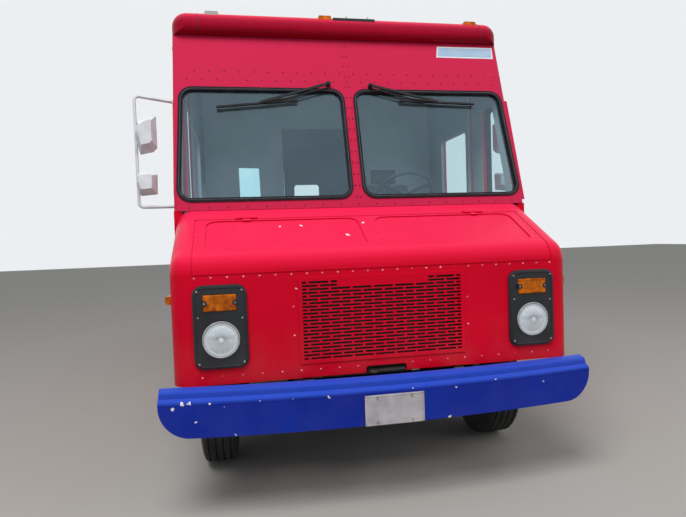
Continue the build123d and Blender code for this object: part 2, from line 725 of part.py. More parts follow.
for distance in cross_setbacks:
    frame += block(
        around(0, RAIL_OUTER - RAIL_WEB / 2), setbacks((distance, distance + CROSS_DEPTH)), CROSS_Z
    )
save("chassis_frame", frame)

# Rear bumper: a folded step across the tail, on brackets from the rails
step_top = SKIRT_BOTTOM + REAR_BUMPER_HEIGHT
rear_bumper = block(around(0, HALF_WIDTH), (TAIL_Y, LENGTH / 2), (SKIRT_BOTTOM, step_top))
rear_bumper -= block(
    around(0, HALF_WIDTH - REAR_BUMPER_WALL),
    (TAIL_Y - THROUGH, LENGTH / 2 - REAR_BUMPER_WALL),
    (SKIRT_BOTTOM - THROUGH, step_top - REAR_BUMPER_WALL),
)
for side in (1, -1):
    rear_bumper += block(
        sided(side, (RAIL_OUTER - 40, RAIL_OUTER)),
        (rail_end, LENGTH / 2 - REAR_BUMPER_WALL),
        (RAIL_BOTTOM + 40, step_top - 10),
    )
save("rear_bumper", rear_bumper)

# Floor plate with its cross sills and pads on the rails, cut away for the step wells and the engine
door_x = (INSIDE - DOOR_STAND_OFF - DOOR_THICK, INSIDE - DOOR_STAND_OFF)
pocket_x = (door_x[0] - GAP, INSIDE + THROUGH)
pocket_y = setbacks((DOORWAY_FRONT - DOOR_LAP - GAP, DOORWAY_REAR + DOOR_LAP + DOOR_SLIDE + GAP))
well_y = setbacks((DOORWAY_FRONT + STEP_FRONT, DOORWAY_REAR))
well_x = (STEP_INNER - STEP_SHEET, pocket_x[0])
well_outer_y = (well_y[0] - STEP_SHEET, well_y[1] + STEP_SHEET)
floor = block(around(0, INSIDE), (setback(COWL_SETBACK), TAIL_Y - WALL), (FLOOR_UNDER, FLOOR_TOP))
through_floor = (FLOOR_UNDER - THROUGH, FLOOR_TOP + THROUGH)
floor -= block(
    around(0, COVER_HALF - COVER_SHEET),
    setbacks((COWL_SETBACK - THROUGH, COVER_REAR - COVER_SHEET)),
    through_floor,
)
for side in (1, -1):
    floor -= block(sided(side, pocket_x), pocket_y, through_floor)
    floor -= block(sided(side, (well_x[0], well_x[1] + THROUGH)), well_outer_y, through_floor)
sill_wide = INSIDE - 10
sill_narrow = pocket_x[0] - 14
sill_step = well_x[0] - 13
sill_wheel = DUAL_INNER - TYRE_WIDTH / 2 - 32
sills = (
    (DOORWAY_REAR + 50, sill_step),
    (2550.0, sill_wide),
    (3200.0, sill_wide),
    (REAR_AXLE_SETBACK - 498, sill_wheel),
    (REAR_AXLE_SETBACK + 2, sill_wheel),
    (REAR_AXLE_SETBACK + 502, sill_wide),
    (TAIL_SETBACK - 557, sill_wide),
    (TAIL_SETBACK - 107, sill_wide),
)
for distance, reach in sills:
    floor += block(around(0, reach), setbacks((distance, distance + 50)), (RAIL_TOP, FLOOR_UNDER))
for side in (1, -1):
    for distance in (AXLE_SETBACK - 160, AXLE_SETBACK + 240):
        rail_x = sided(side, (rail_inner, RAIL_OUTER))
        floor += block(rail_x, setbacks((distance, distance + 80)), (RAIL_TOP, FLOOR_UNDER))
save("floor", floor)

# Step wells, folded from sheet, each open at its top and at its doorway, with the tread run out as the sill
well = block(well_x, well_outer_y, (STEP_BOTTOM, FLOOR_TOP))
well -= block((STEP_INNER, well_x[1] + THROUGH), well_y, (STEP_BOTTOM + STEP_TREAD, FLOOR_TOP + THROUGH))
sill_y = (well_outer_y[0], setback(DOORWAY_REAR - PANEL_SEAM))
well += block((well_x[1] - THROUGH, HALF_WIDTH), sill_y, (STEP_BOTTOM, STEP_BOTTOM + STEP_TREAD))
save("step_wells", both(well))

# Cover over the engine, between the seats, standing on the floor
cover = block(around(0, COVER_HALF), setbacks((COWL_SETBACK, COVER_REAR)), (FLOOR_TOP, COVER_TOP))
cover_edges = cover.edges().filter_by(lambda edge: edge.center().Z > FLOOR_TOP + 1)
cover_edges = cover_edges.filter_by(lambda edge: edge.center().Y > setback(COWL_SETBACK + 1))
cover = fillet(cover_edges, COVER_R)
cover -= block(
    around(0, COVER_HALF - COVER_SHEET),
    setbacks((COWL_SETBACK - THROUGH, COVER_REAR - COVER_SHEET)),
    (FLOOR_TOP - THROUGH, COVER_TOP - COVER_SHEET),
)
save("engine_cover", cover)

# Engine with gearbox, and the radiator ahead of it
engine = block(around(0, ENGINE_HALF), setbacks(ENGINE_SPAN), ENGINE_Z)
engine = chamfer(engine.edges().filter_by(Axis.Y).group_by(Axis.Z)[-1], 60)
engine += block(around(0, GEARBOX_HALF), setbacks((ENGINE_SPAN[1], GEARBOX_REAR)), GEARBOX_Z)
for side in (1, -1):
    mount_x = sided(side, (ENGINE_HALF, RAIL_OUTER - RAIL_WEB))
    engine += block(mount_x, setbacks(ENGINE_MOUNT[0]), ENGINE_MOUNT[1])
radiator = block(around(0, RADIATOR[0]), setbacks(RADIATOR[1]), RADIATOR[2])
save("engine_block", [engine, radiator])

# Fuel tank, exhaust and drive shaft under the floor
tank = block((RAIL_OUTER, HALF_WIDTH - TANK_INBOARD), setbacks(TANK_SPAN), (TANK_BOTTOM, RAIL_TOP - 5))
save("fuel_tank", fillet(tank.edges().filter_by(Axis.Y), TANK_R))
exhaust_front, exhaust_back = ENGINE_SPAN[1] + 120, TAIL_SETBACK - 407
pipe_middle = (EXHAUST_X, setback((exhaust_front + exhaust_back) / 2), EXHAUST_Z)
exhaust = lying("Y", pipe_middle, EXHAUST_R, exhaust_back - exhaust_front)
silencer_middle = (EXHAUST_X, setback(sum(SILENCER_SPAN) / 2), EXHAUST_Z - 8)
exhaust += lying("Y", silencer_middle, SILENCER_R, SILENCER_SPAN[1] - SILENCER_SPAN[0])
save("exhaust", exhaust)
shaft_front = (0, setback(GEARBOX_REAR) + 45, 455)
shaft_rear = (0, REAR_AXLE_Y - 225, TYRE_R + 15)
shaft = bar_between(shaft_front, shaft_rear, SHAFT_R)
for place, shift in ((shaft_front, -15), (shaft_rear, 15)):
    shaft += lying("Y", (0, place[1] + shift, place[2]), JOINT_R, 60)
save("drive_shaft", shaft)

# Front axle: a dropped I beam with an eye for each kingpin
beam_half = KINGPIN_X - 120
beam = block(around(0, beam_half), around(FRONT_AXLE_Y, 35), (290, 350))
for face in (1, -1):
    groove_y = sorted((FRONT_AXLE_Y + face * 10, FRONT_AXLE_Y + face * 36))
    beam -= block(around(0, beam_half - 40), groove_y, (304, 336))
for side in (1, -1):
    neck_y = around(FRONT_AXLE_Y, 30)
    beam += block(sided(side, (KINGPIN_X - 160, KINGPIN_X)), neck_y, (TYRE_R - 42, TYRE_R + 20))
    beam += block(sided(side, (KINGPIN_X - 160, beam_half)), neck_y, (290, TYRE_R - 40))
    beam += lying("Z", (side * KINGPIN_X, FRONT_AXLE_Y, TYRE_R), 36, 84)
    pad_x = sorted(around(side * SPRING_X, SPRING_PAD_HALF))
    beam += block(pad_x, around(FRONT_AXLE_Y, SPRING_PAD), (350, 372))
for side in (1, -1):
    beam -= lying("Z", (side * KINGPIN_X, FRONT_AXLE_Y, TYRE_R), KINGPIN_R + RUNNING_FIT, 120)
save("front_axle", beam)

# Rear axle: tubes either side of a round housing, with a spindle end at each side
bolt_plane = (DUAL_INNER + DUAL_OUTER) / 2
housing = section_of((0, -95), (85, -95), (150, -35), (150, 35), (85, 95), (0, 95))
rear_axle = turned(housing, (0, REAR_AXLE_Y, TYRE_R), "front")
rear_axle += along_x(around(0, bolt_plane - 190), REAR_AXLE_Y, TYRE_R, 48)
rear_axle += along_x(around(0, bolt_plane + 95), REAR_AXLE_Y, TYRE_R, SPINDLE_R)
rear_axle += lying("Y", (0, REAR_AXLE_Y - 120, TYRE_R + 15), 55, 120)
for side in (1, -1):
    pad_x = sorted(around(side * SPRING_X, SPRING_PAD_HALF))
    rear_axle += block(pad_x, around(REAR_AXLE_Y, SPRING_PAD), (TYRE_R, TYRE_R + 60))
save("rear_axle", rear_axle)

# Leaf springs, bowed down between hangers under the rails
springs = []
for axle_y, seat in ((FRONT_AXLE_Y, 372.0), (REAR_AXLE_Y, TYRE_R + 60)):
    rise = RAIL_BOTTOM - 40 - seat
    bow = ThreePointArc(
        (-SPRING_REACH, rise + SPRING_LEAVES), (0, SPRING_LEAVES), (SPRING_REACH, rise + SPRING_LEAVES)
    )
    edge = Line((SPRING_REACH, rise + SPRING_LEAVES), (SPRING_REACH, rise))
    lower = Polyline((SPRING_REACH, rise), (240, 0), (-240, 0), (-SPRING_REACH, rise))
    leaf = make_face([bow, edge, lower, Line((-SPRING_REACH, rise), (-SPRING_REACH, rise + SPRING_LEAVES))])
    for side in (1, -1):
        x = sorted(around(side * SPRING_X, SPRING_WIDTH / 2))
        spring = extrude(Plane.YZ.offset(x[0]) * (Pos(axle_y, seat) * leaf), SPRING_WIDTH)
        for end in around(axle_y, SPRING_REACH - 30):
            spring += block(x, around(end, 30), (seat + rise - 4, RAIL_BOTTOM))
        springs.append(spring)
save("leaf_springs", springs)

# Windscreen panel with its two openings, and the moulding down its driver's side
lean = atan2(SCREEN_RAKE, 1.0)
screen_foot = (0, screen_y(COWL_TOP), COWL_TOP)
screen_plane = Plane(origin=screen_foot, x_dir=(1, 0, 0), z_dir=(0, -cos(lean), sin(lean)))


def along_screen(z):
    """Distance up the leaning panel from the cowl to a height."""
    return (z - COWL_TOP) / cos(lean)


def pane(inset):
    """One windscreen opening on the leaning plane, with rounded corners."""
    low, high = along_screen(SCREEN_BOTTOM) + inset, along_screen(SCREEN_TOP) - inset
    corners = [
        (SCREEN_INNER + inset, low),
        (HALF_WIDTH - SCREEN_MARGIN_BOTTOM - inset, low),
        (HALF_WIDTH - SCREEN_MARGIN_TOP - inset, high),
        (SCREEN_INNER + inset, high),
    ]
    outline = make_face(Polyline(*corners, close=True))
    return fillet(outline.vertices(), SCREEN_CORNER_R - inset)


def on_screen(outline, outward, depth):
    """A slab on the leaning plane that stands out by a distance and is this deep."""
    return extrude(screen_plane.offset(outward) * outline, -depth)


def leaning_slab(x, z, behind):
    """A slab that follows the leaning panel between two heights and two distances behind its face."""
    corners = [(screen_y(z[i]) + behind[j], z[i]) for i, j in ((0, 0), (1, 0), (1, 1), (0, 1))]
    return side_slab(corners, x)


screen_panel = leaning_slab(around(0, HALF_WIDTH), (COWL_TOP, ROOF_FRONT_LIP_Z), (0, panel_back))
corner_edges = [e for e in screen_panel.edges() if abs(e.center().X) > HALF_WIDTH - 1 and e.length > 500]
corner_edges = [e for e in corner_edges if e.center().Y < screen_y(e.center().Z) + 1]
screen_panel = fillet(corner_edges, BODY_CORNER_R)
for cut in both(on_screen(pane(SEAL_WIDTH / 2), 1, SCREEN_PANEL + 2)):
    screen_panel -= cut
moulding = leaning_slab((HALF_WIDTH - 22, HALF_WIDTH + MOULDING_PROUD), MOULDING_Z, MOULDING_BACK)
save("windscreen_panel", screen_panel + moulding)

# Rubber seals round the windscreens, with a slot that holds the glass
seal = on_screen(pane(0), SEAL_PROUD, SEAL_PROUD)
seal += on_screen(pane(SEAL_WIDTH / 2), SEAL_PROUD, SEAL_PROUD + SCREEN_PANEL)
seal -= on_screen(pane(SEAL_WIDTH), SEAL_PROUD + 1, SCREEN_PANEL + 10)
glass = on_screen(pane(SEAL_WIDTH / 2 + SEAL_GRIP), -GLASS_INSET, GLASS)
seal -= glass

# Side walls, from the windscreen panel to the tail: a front panel, a header over the doorway and a long rear
# panel, parted at seams, with their openings, rub rails and arch lips
wall_outline = [
    (setback(COWL_SETBACK), SKIRT_BOTTOM),
    (setback(COWL_SETBACK), COWL_TOP),
    (screen_y(COWL_TOP) + panel_back, COWL_TOP),
    (screen_y(ROOF_LIP_Z) + panel_back, ROOF_LIP_Z),
    (TAIL_Y - WALL, ROOF_LIP_Z),
    (TAIL_Y - WALL, SKIRT_BOTTOM),
]
wall_x = (INSIDE, HALF_WIDTH)
through = (wall_x[0] - THROUGH, wall_x[1] + RUB_RAIL_PROUD + THROUGH)


def wall_window(front_low, front_high, rear, bottom, top, radius, x):
    """An opening through a wall whose front edge may lean, with rounded corners."""
    corners = [
        (setback(front_low), bottom),
        (setback(front_high), top),
        (setback(rear), top),
        (setback(rear), bottom),
    ]
    outline = make_face(Polyline(*corners, close=True))
    outline = fillet(outline.vertices(), radius)
    return extrude(Plane.YZ.offset(x[0]) * outline, x[1] - x[0])


def quarter(inset, x):
    """The quarter window's outline, drawn in by an inset or out by a negative one."""
    quarter_lean = SCREEN_RAKE * (QUARTER_TOP - QUARTER_BOTTOM)
    front = QUARTER_FRONT + inset
    rear, radius = QUARTER_REAR - inset, QUARTER_R - inset
    bottom, top = QUARTER_BOTTOM + inset, QUARTER_TOP - inset
    return wall_window(front, front + quarter_lean, rear, bottom, top, radius, x)


wall = side_slab(wall_outline, wall_x)
wall += quarter(-QUARTER_FRAME, (wall_x[1] - THROUGH, wall_x[1] + TRIM_PROUD))
for axle_y in (FRONT_AXLE_Y, REAR_AXLE_Y):
    wall += arch_lip(axle_y, HALF_WIDTH, (setback(COWL_SETBACK), TAIL_Y - WALL), (SKIRT_BOTTOM, COWL_TOP))
rail_runs = ((COWL_SETBACK + 10, DOORWAY_FRONT - 20), (DOORWAY_REAR + 20, TAIL_SETBACK - WALL))
for run in rail_runs:
    for z in RUB_RAILS:
        rub = block((HALF_WIDTH - THROUGH, HALF_WIDTH + RUB_RAIL_PROUD), setbacks(run), z)
        wall += chamfer(rub.faces().sort_by(Axis.X)[-1].edges(), RUB_RAIL_PROUD / 2)
wall -= wheel_arch(FRONT_AXLE_Y)
wall -= wheel_arch(REAR_AXLE_Y)
wall -= quarter(0, through)
wall -= block(through, setbacks((DOORWAY_FRONT, DOORWAY_REAR)), (SKIRT_BOTTOM - THROUGH, DOORWAY_TOP))
header_z = (DOORWAY_TOP - THROUGH, ROOF_LIP_Z + THROUGH)
for edge in (DOORWAY_FRONT, DOORWAY_REAR):
    wall -= block(through, around(setback(edge), PANEL_SEAM / 2), header_z)
save("side_wall_left", wall)
hatch_y = setbacks((HATCH_FRONT, HATCH_REAR))
right_wall = mirrored(wall) - block(sided(-1, through), hatch_y, (HATCH_BOTTOM, HATCH_TOP))
strut_y = (hatch_y[0] + STRUT_INSET, hatch_y[1] - STRUT_INSET)
for y, away in ((strut_y[0], -1), (strut_y[1], 1)):
    bracket_y = sorted((y + away * 16, y + away * 70))
    right_wall += block((-INSIDE, STRUT_X + 14), bracket_y, around(STRUT_FOOT_Z, 14))
    right_wall += lying("Y", (STRUT_X, y + away * 6, STRUT_FOOT_Z), STRUT_PIN_R, 28)

# Hatch hinge and shelf hinge: knuckles on the wall at both ends of each opening
hatch_axis = (-HALF_WIDTH - HATCH_HINGE_OUT, HATCH_TOP + HATCH_HINGE_UP)
shelf_axis = (-HALF_WIDTH - SHELF_OFF - SHELF_THICK / 2, HATCH_BOTTOM - SHELF_HINGE_DOWN)
lid_y = (hatch_y[0] + GAP, hatch_y[1] - GAP)
shelf_y = (hatch_y[0] + 40, hatch_y[1] - 40)
hinge_end = 60.0
for near, away in ((lid_y[0], 1), (lid_y[1], -1)):
    knuckle_y = sorted((near, near + away * hinge_end))
    right_wall += lying("Y", (hatch_axis[0], sum(knuckle_y) / 2, hatch_axis[1]), HATCH_HINGE_R, hinge_end)
    knuckle_z = (hatch_axis[1], hatch_axis[1] + HATCH_HINGE_R)
    right_wall += block((hatch_axis[0], -HALF_WIDTH), knuckle_y, knuckle_z)
    right_wall += block(
        (-HALF_WIDTH - HATCH_HINGE_LEAF, -HALF_WIDTH), knuckle_y, (hatch_axis[1], hatch_axis[1] + 45)
    )
for near, away in ((shelf_y[0], 1), (shelf_y[1], -1)):
    knuckle_y = sorted((near, near + away * hinge_end))
    right_wall += lying("Y", (shelf_axis[0], sum(knuckle_y) / 2, shelf_axis[1]), SHELF_HINGE_R, hinge_end)
    right_wall += block((shelf_axis[0], -HALF_WIDTH), knuckle_y, around(shelf_axis[1], 4))
save("side_wall_right", right_wall)

quarter_face = wall_x[1] + TRIM_PROUD
quarter_seal = quarter(0, (quarter_face - 30, quarter_face + 3)) - quarter(18, through)
quarter_glass = quarter(8, (quarter_face - 18, quarter_face - 18 + GLASS))
save("glass_seals", both(seal) + both(quarter_seal - quarter_glass))
save("fixed_glass", both(glass) + both(quarter_glass))

# Rear frame with its doorway
rear_y = (TAIL_Y - WALL, TAIL_Y)
rear_cut_y = (rear_y[0] - THROUGH, rear_y[1] + THROUGH)
rear_frame = block(around(0, HALF_WIDTH), rear_y, (SKIRT_BOTTOM, ROOF_LIP_Z))
rear_frame = fillet(rear_frame.edges().filter_by(Axis.Z).group_by(Axis.Y)[-1], REAR_CORNER_R)
rear_frame -= block(around(0, REAR_DOORWAY_HALF), rear_cut_y, (FLOOR_TOP, REAR_DOORWAY_TOP))
rear_frame -= block(around(0, RAIL_OUTER + 5), rear_cut_y, (0, RAIL_TOP + 5))

# Rear door hinges: three to each door, on the outside
rear_hinge = (REAR_DOORWAY_HALF + REAR_HINGE_SIDE, TAIL_Y + REAR_HINGE_BACK)
door_knuckle = 19.7
frame_knuckle = (20.0, 58.0)
for height in REAR_HINGE_HEIGHTS:
    for upward in (1, -1):
        z = sorted((height + upward * frame_knuckle[0], height + upward * frame_knuckle[1]))
        knuckle = lying("Z", (*rear_hinge, sum(z) / 2), REAR_HINGE_R, z[1] - z[0])
        knuckle += block((rear_hinge[0] - 5, rear_hinge[0] + 13), (TAIL_Y, rear_hinge[1]), z)
        knuckle += block((rear_hinge[0] + 7, rear_hinge[0] + 65), (TAIL_Y, TAIL_Y + 6), z)
        rear_frame += both(knuckle)
save("rear_frame", rear_frame)

# Tail lamps: a pair of round ones at each side
tail_lamp = section_of((0, 0), (TAIL_LAMP_R, 0), (TAIL_LAMP_R, 10), (TAIL_LAMP_R - 8, 20), (0, 26))
lamps = []
for z in TAIL_LAMP_HEIGHTS:
    lamps += both(turned(tail_lamp, (HALF_WIDTH - TAIL_LAMP_INBOARD, TAIL_Y, z), "back"))
save("tail_lamps", lamps)

# Rear doors, each a framed leaf with a window
leaf_y = around(TAIL_Y, REAR_DOOR_THICK / 2)
leaf_x = (GAP, REAR_DOORWAY_HALF - GAP)
leaf_z = (FLOOR_TOP + GAP, REAR_DOORWAY_TOP - GAP)
window = rounded((REAR_WINDOW_MARGIN, REAR_DOORWAY_HALF - REAR_WINDOW_MARGIN), REAR_WINDOW_Z, 50)
leaf = block(leaf_x, leaf_y, leaf_z) - front_slab(window, (leaf_y[0] - THROUGH, leaf_y[1] + THROUGH))
for height in REAR_HINGE_HEIGHTS:
    z = around(height, door_knuckle)
    leaf += block((rear_hinge[0] - 65, rear_hinge[0] - 9), (leaf_y[1], leaf_y[1] + 6), z)
    leaf += block((rear_hinge[0] - 15, rear_hinge[0]), (leaf_y[1], rear_hinge[1]), z)
    leaf += lying("Z", (*rear_hinge, height), REAR_HINGE_R, 2 * door_knuckle)
leaf_glass = front_slab(window, around(TAIL_Y, GLASS / 2))
save("rear_door_left", leaf)
save("rear_glass_left", leaf_glass)
save("rear_door_right", mirrored(leaf))
save("rear_glass_right", mirrored(leaf_glass))

# Sliding cab doors, which run back inside the walls
door_y = (DOORWAY_FRONT - DOOR_LAP, DOORWAY_REAR + DOOR_LAP)
door = block(door_x, setbacks(door_y), (DOORWAY_BOTTOM + 8, DOORWAY_TOP + DOOR_LAP))
pane_y = (door_y[0] + DOOR_FRONT_STILE, door_y[1] - DOOR_REAR_STILE)


def door_pane(x):
    """The door's window outline between two values of x."""
    return wall_window(pane_y[0], pane_y[0], pane_y[1], DOOR_GLASS_BOTTOM, DOOR_GLASS_TOP, DOOR_GLASS_R, x)


door -= door_pane((door_x[0] - THROUGH, door_x[1] + THROUGH))
door_glass = door_pane(around(sum(door_x) / 2, GLASS / 2))
save("door_left", door)
save("door_glass_left", door_glass)
save("door_right", mirrored(door))
save("door_glass_right", mirrored(door_glass))

# Serving hatch: a lid with a hinge along its top, and a recess behind each strut's eye
hatch_x = (-HALF_WIDTH, -HALF_WIDTH + HATCH_THICK)
hatch = block(hatch_x, lid_y, (HATCH_BOTTOM + GAP, HATCH_TOP - GAP))
eye_z = STRUT_FOOT_Z + STRUT_LENGTH
for y, inward in ((strut_y[0], 1), (strut_y[1], -1)):
    recess_x = (hatch_x[1] - STRUT_RECESS, hatch_x[1] + THROUGH)
    hatch -= block(recess_x, around(y, 14), (eye_z - 135, eye_z + 225))
    lug_y = sorted((y + inward * 15, y + inward * 23))
    hatch += block((hatch_x[1], STRUT_X + 14), lug_y, around(eye_z, 16))
lid_knuckle = (lid_y[0] + hinge_end + 4, lid_y[1] - hinge_end - 4)
lid_knuckle_length = lid_knuckle[1] - lid_knuckle[0]
hatch += lying("Y", (hatch_axis[0], sum(lid_knuckle) / 2, hatch_axis[1]), HATCH_HINGE_R, lid_knuckle_length)
hatch += block((-HALF_WIDTH - HATCH_HINGE_LEAF, -HALF_WIDTH), lid_knuckle, (HATCH_TOP - 40, HATCH_TOP - GAP))
hatch += block(
    (hatch_axis[0], -HALF_WIDTH - 1), lid_knuckle, (hatch_axis[1] - HATCH_HINGE_R - 5, hatch_axis[1])
)
save("serving_hatch", hatch)

# Gas struts: a barrel on the wall's pin and a rod whose eye lies beside the lid's lug
barrels, rods = [], []
for y in strut_y:
    barrel = lying("Y", (STRUT_X, y, STRUT_FOOT_Z), 13, 16)
    barrel += lying("Z", (STRUT_X, y, STRUT_FOOT_Z + 155), STRUT_BARREL_R, 290)
    barrel -= lying("Y", (STRUT_X, y, STRUT_FOOT_Z), STRUT_PIN_R + RUNNING_FIT, 18)
    barrel -= lying("Z", (STRUT_X, y, STRUT_FOOT_Z + 165), STRUT_ROD_R + RUNNING_FIT, 280)
    barrels.append(barrel)
    rod = lying("Z", (STRUT_X, y, STRUT_FOOT_Z + (30 + STRUT_LENGTH) / 2), STRUT_ROD_R, STRUT_LENGTH - 30)
    rods.append(rod + lying("Y", (STRUT_X, y, eye_z), STRUT_EYE_R, 16))
save("strut_barrels", barrels)
save("strut_rods", rods)

# Serving shelf, folded down against the wall under the hatch
shelf_top = HATCH_BOTTOM - SHELF_HINGE_DOWN - 8
shelf_x = (-HALF_WIDTH - SHELF_OFF - SHELF_THICK, -HALF_WIDTH - SHELF_OFF)
shelf = block(shelf_x, shelf_y, (shelf_top - SHELF_WIDTH, shelf_top))
shelf_knuckle = (shelf_y[0] + hinge_end + 4, shelf_y[1] - hinge_end - 4)
shelf_pin = (shelf_axis[0], sum(shelf_knuckle) / 2, shelf_axis[1])
shelf += lying("Y", shelf_pin, SHELF_HINGE_R, shelf_knuckle[1] - shelf_knuckle[0])
shelf += block(around(shelf_axis[0], 4), shelf_knuckle, (shelf_top - THROUGH, shelf_axis[1]))
save("serving_shelf", shelf)

# Mirrors: outlines of the two heads, outward from the inner edge and down from the top
UPPER_HEAD = ((19, 0), (107, -44), (121, -107), (119, -140), (95, -233), (22, -218), (0, -194), (0, -10))
LOWER_HEAD = ((24, 0), (107, -2), (119, -15), (126, -62), (112, -124), (98, -136), (10, -128), (6, -12))


def mirror_head(outline, y, top):
    """A faceted housing, open outline behind and smaller in front, with its mirror facing back."""
    inner = HALF_WIDTH + MIRROR_HEAD_IN
    middle = (sum(p[0] for p in outline) / len(outline), sum(p[1] for p in outline) / len(outline) + 18)
    faces = []
    for reach, share in ((0.0, 1.0), (MIRROR_DEPTH, 0.62)):
        points = []
        for u, v in outline:
            drawn_in = (middle[0] + share * (u - middle[0]), middle[1] + share * (v - middle[1]))
            points.append((inner + drawn_in[0], top + drawn_in[1]))
        face = make_face(Polyline(*points, close=True))
        faces.append(Plane.XZ.offset(-(y - reach)) * face)
    return loft(faces, ruled=True)


def mirror_side(arm_setback, root_setback, arms, heads):
    """Tube frame and heads of one side, drawn on the left; arms and heads are heights."""
    y, out = setback(arm_setback), HALF_WIDTH + MIRROR_REACH
    roots = (setback(root_setback), y)
    route = FilletPolyline(
        (HALF_WIDTH, roots[0], arms[0]),
        (out, y, arms[0]),
        (out, y, arms[1]),
        (HALF_WIDTH, roots[1], arms[1]),
        radius=MIRROR_BEND_R,
    )
    start = Plane(origin=route @ 0, z_dir=route % 0)
    shape = sweep(start * RegularPolygon(MIRROR_TUBE_R, 8), path=route)
    shape -= block((0, HALF_WIDTH), around(y, 400), (arms[1] - 50, arms[0] + 50))
    for root, arm in zip(roots, arms):
        foot = (HALF_WIDTH, HALF_WIDTH + MIRROR_FOOT[2])
        shape += block(foot, around(root, MIRROR_FOOT[0]), around(arm, MIRROR_FOOT[1]))
    for outline, top in zip((UPPER_HEAD, LOWER_HEAD), heads):
        shape += mirror_head(outline, y - MIRROR_TUBE_R + 2, top)
    return shape


mirror_left = mirror_side(1100.0, 1100.0, (2264.0, 1620.0), (2167.0, 1800.0))
mirror_right = mirrored(mirror_side(620.0, 768.0, (2219.0, 1573.0), (2110.0, 1774.0)))
save("mirrors", [mirror_left, mirror_right])

# Wipers: an arm and a blade over each windscreen, as pivot, tip and blade ends in x and height
WIPERS = (
    ((-127, 2330), (-567, 2195), (-828, 2167), (-330, 2218)),
    ((148, 2322), (588, 2214), (336, 2223), (843, 2205)),
)


def strip(start, end, width):
    """A straight strip on the leaning plane between two places given as x and height."""
    a, b = Vector(start[0], along_screen(start[1])), Vector(end[0], along_screen(end[1]))
    angle = degrees(atan2((b - a).Y, (b - a).X))
    middle = (a + b) / 2
    return Pos(middle.X, middle.Y) * Rot(0, 0, angle) * Rectangle((b - a).length, width)


wipers = []
for pivot, tip, blade_start, blade_end in WIPERS:
    hub = on_screen(Pos(pivot[0], along_screen(pivot[1])) * Circle(15), 28, 28)
    arm = on_screen(strip(pivot, tip, 16), 28, 8)
    wipers.append(hub + arm + on_screen(strip(blade_start, blade_end, 11), 21, 11))
save("wipers", wipers)

# Cab: dashboard with an instrument hood and the steering column
dash = side_slab(
    [
        (setback(DASH_FRONT), COVER_TOP),
        (setback(DASH_FRONT), DASH_TOP - 30),
        (setback(DASH_REAR - 100), DASH_TOP),
        (setback(DASH_REAR), DASH_TOP - 110),
        (setback(DASH_REAR), DASH_TOP - 290),
        (setback(DASH_REAR - 80), COVER_TOP),
    ],
    around(0, HALF_WIDTH - DASH_INBOARD),
)
binnacle = block(around(WHEEL_X, BINNACLE_HALF), setbacks((DASH_REAR - 110, DASH_REAR + 50)), BINNACLE_Z)
dash += fillet(binnacle.edges().filter_by(Axis.Y).group_by(Axis.Z)[-1], 35)
wheel_centre = Vector(WHEEL_X, setback(WHEEL_SETBACK), WHEEL_Z)
column_foot = Vector(WHEEL_X, setback(COLUMN_FOOT_SETBACK), COLUMN_FOOT_Z)
column_axis = (wheel_centre - column_foot).normalized()
column_top = wheel_centre - column_axis * 60
save("dashboard", dash + bar_between(tuple(column_foot), tuple(column_top), COLUMN_R))

# Steering wheel: an eight-sided grip on three spokes
grip = Pos(WHEEL_R, 0) * RegularPolygon(WHEEL_GRIP_R, 8, rotation=22.5)
wheel_plane = Plane(origin=tuple(wheel_centre), x_dir=(1, 0, 0), z_dir=tuple(column_axis))
boss_plane = Plane(origin=tuple(column_top + column_axis), x_dir=(1, 0, 0), z_dir=tuple(column_axis))
steering_wheel = wheel_plane * revolve(Plane.XZ * grip, axis=Axis.Z)
steering_wheel += boss_plane * Cylinder(32, 62, align=(Align.CENTER, Align.CENTER, Align.MIN))
for angle in (90, 210, 330):
    steering_wheel += wheel_plane * (Rot(0, 0, angle) * (Pos(WHEEL_R / 2, 0, 0) * Box(WHEEL_R - 5, 26, 8)))
save("steering_wheel", steering_wheel)

# Driver's seat: cushion, back and headrest on a pedestal, as half widths, setback spans and heights
SEAT_PARTS = (
    (230.0, (0.0, 460.0), (SEAT_Z, SEAT_Z + 110), 28.0),
    (210.0, (380.0, 500.0), (SEAT_Z + 105, SEAT_Z + 580), 28.0),
    (110.0, (410.0, 490.0), (SEAT_Z + 575, SEAT_Z + 700), 24.0),
    (160.0, (60.0, 420.0), (FLOOR_TOP, SEAT_Z + 5), 0.0),
)
seat = None
for half_wide, span, height, softness in SEAT_PARTS:
    part_y = (setback(SEAT_SETBACK + span[0]), setback(SEAT_SETBACK + span[1]))
    part = block(around(SEAT_X, half_wide), part_y, height)
    if softness:
        part = chamfer(part.edges(), softness)
    seat = part if seat is None else seat + part
save("driver_seat", seat)

# Bulkhead between cab and kitchen, with its doorway
bulkhead_y = setbacks((BULKHEAD_SETBACK, BULKHEAD_SETBACK + BULKHEAD_THICK))
bulkhead = block(around(0, pocket_x[0] - 14), bulkhead_y, (FLOOR_TOP, ROOF_LIP_Z))
bulkhead -= block(
    around(0, BULKHEAD_DOOR_HALF),
    (bulkhead_y[0] - THROUGH, bulkhead_y[1] + THROUGH),
    (FLOOR_TOP - THROUGH, BULKHEAD_DOOR_TOP),
)
save("bulkhead", bulkhead)

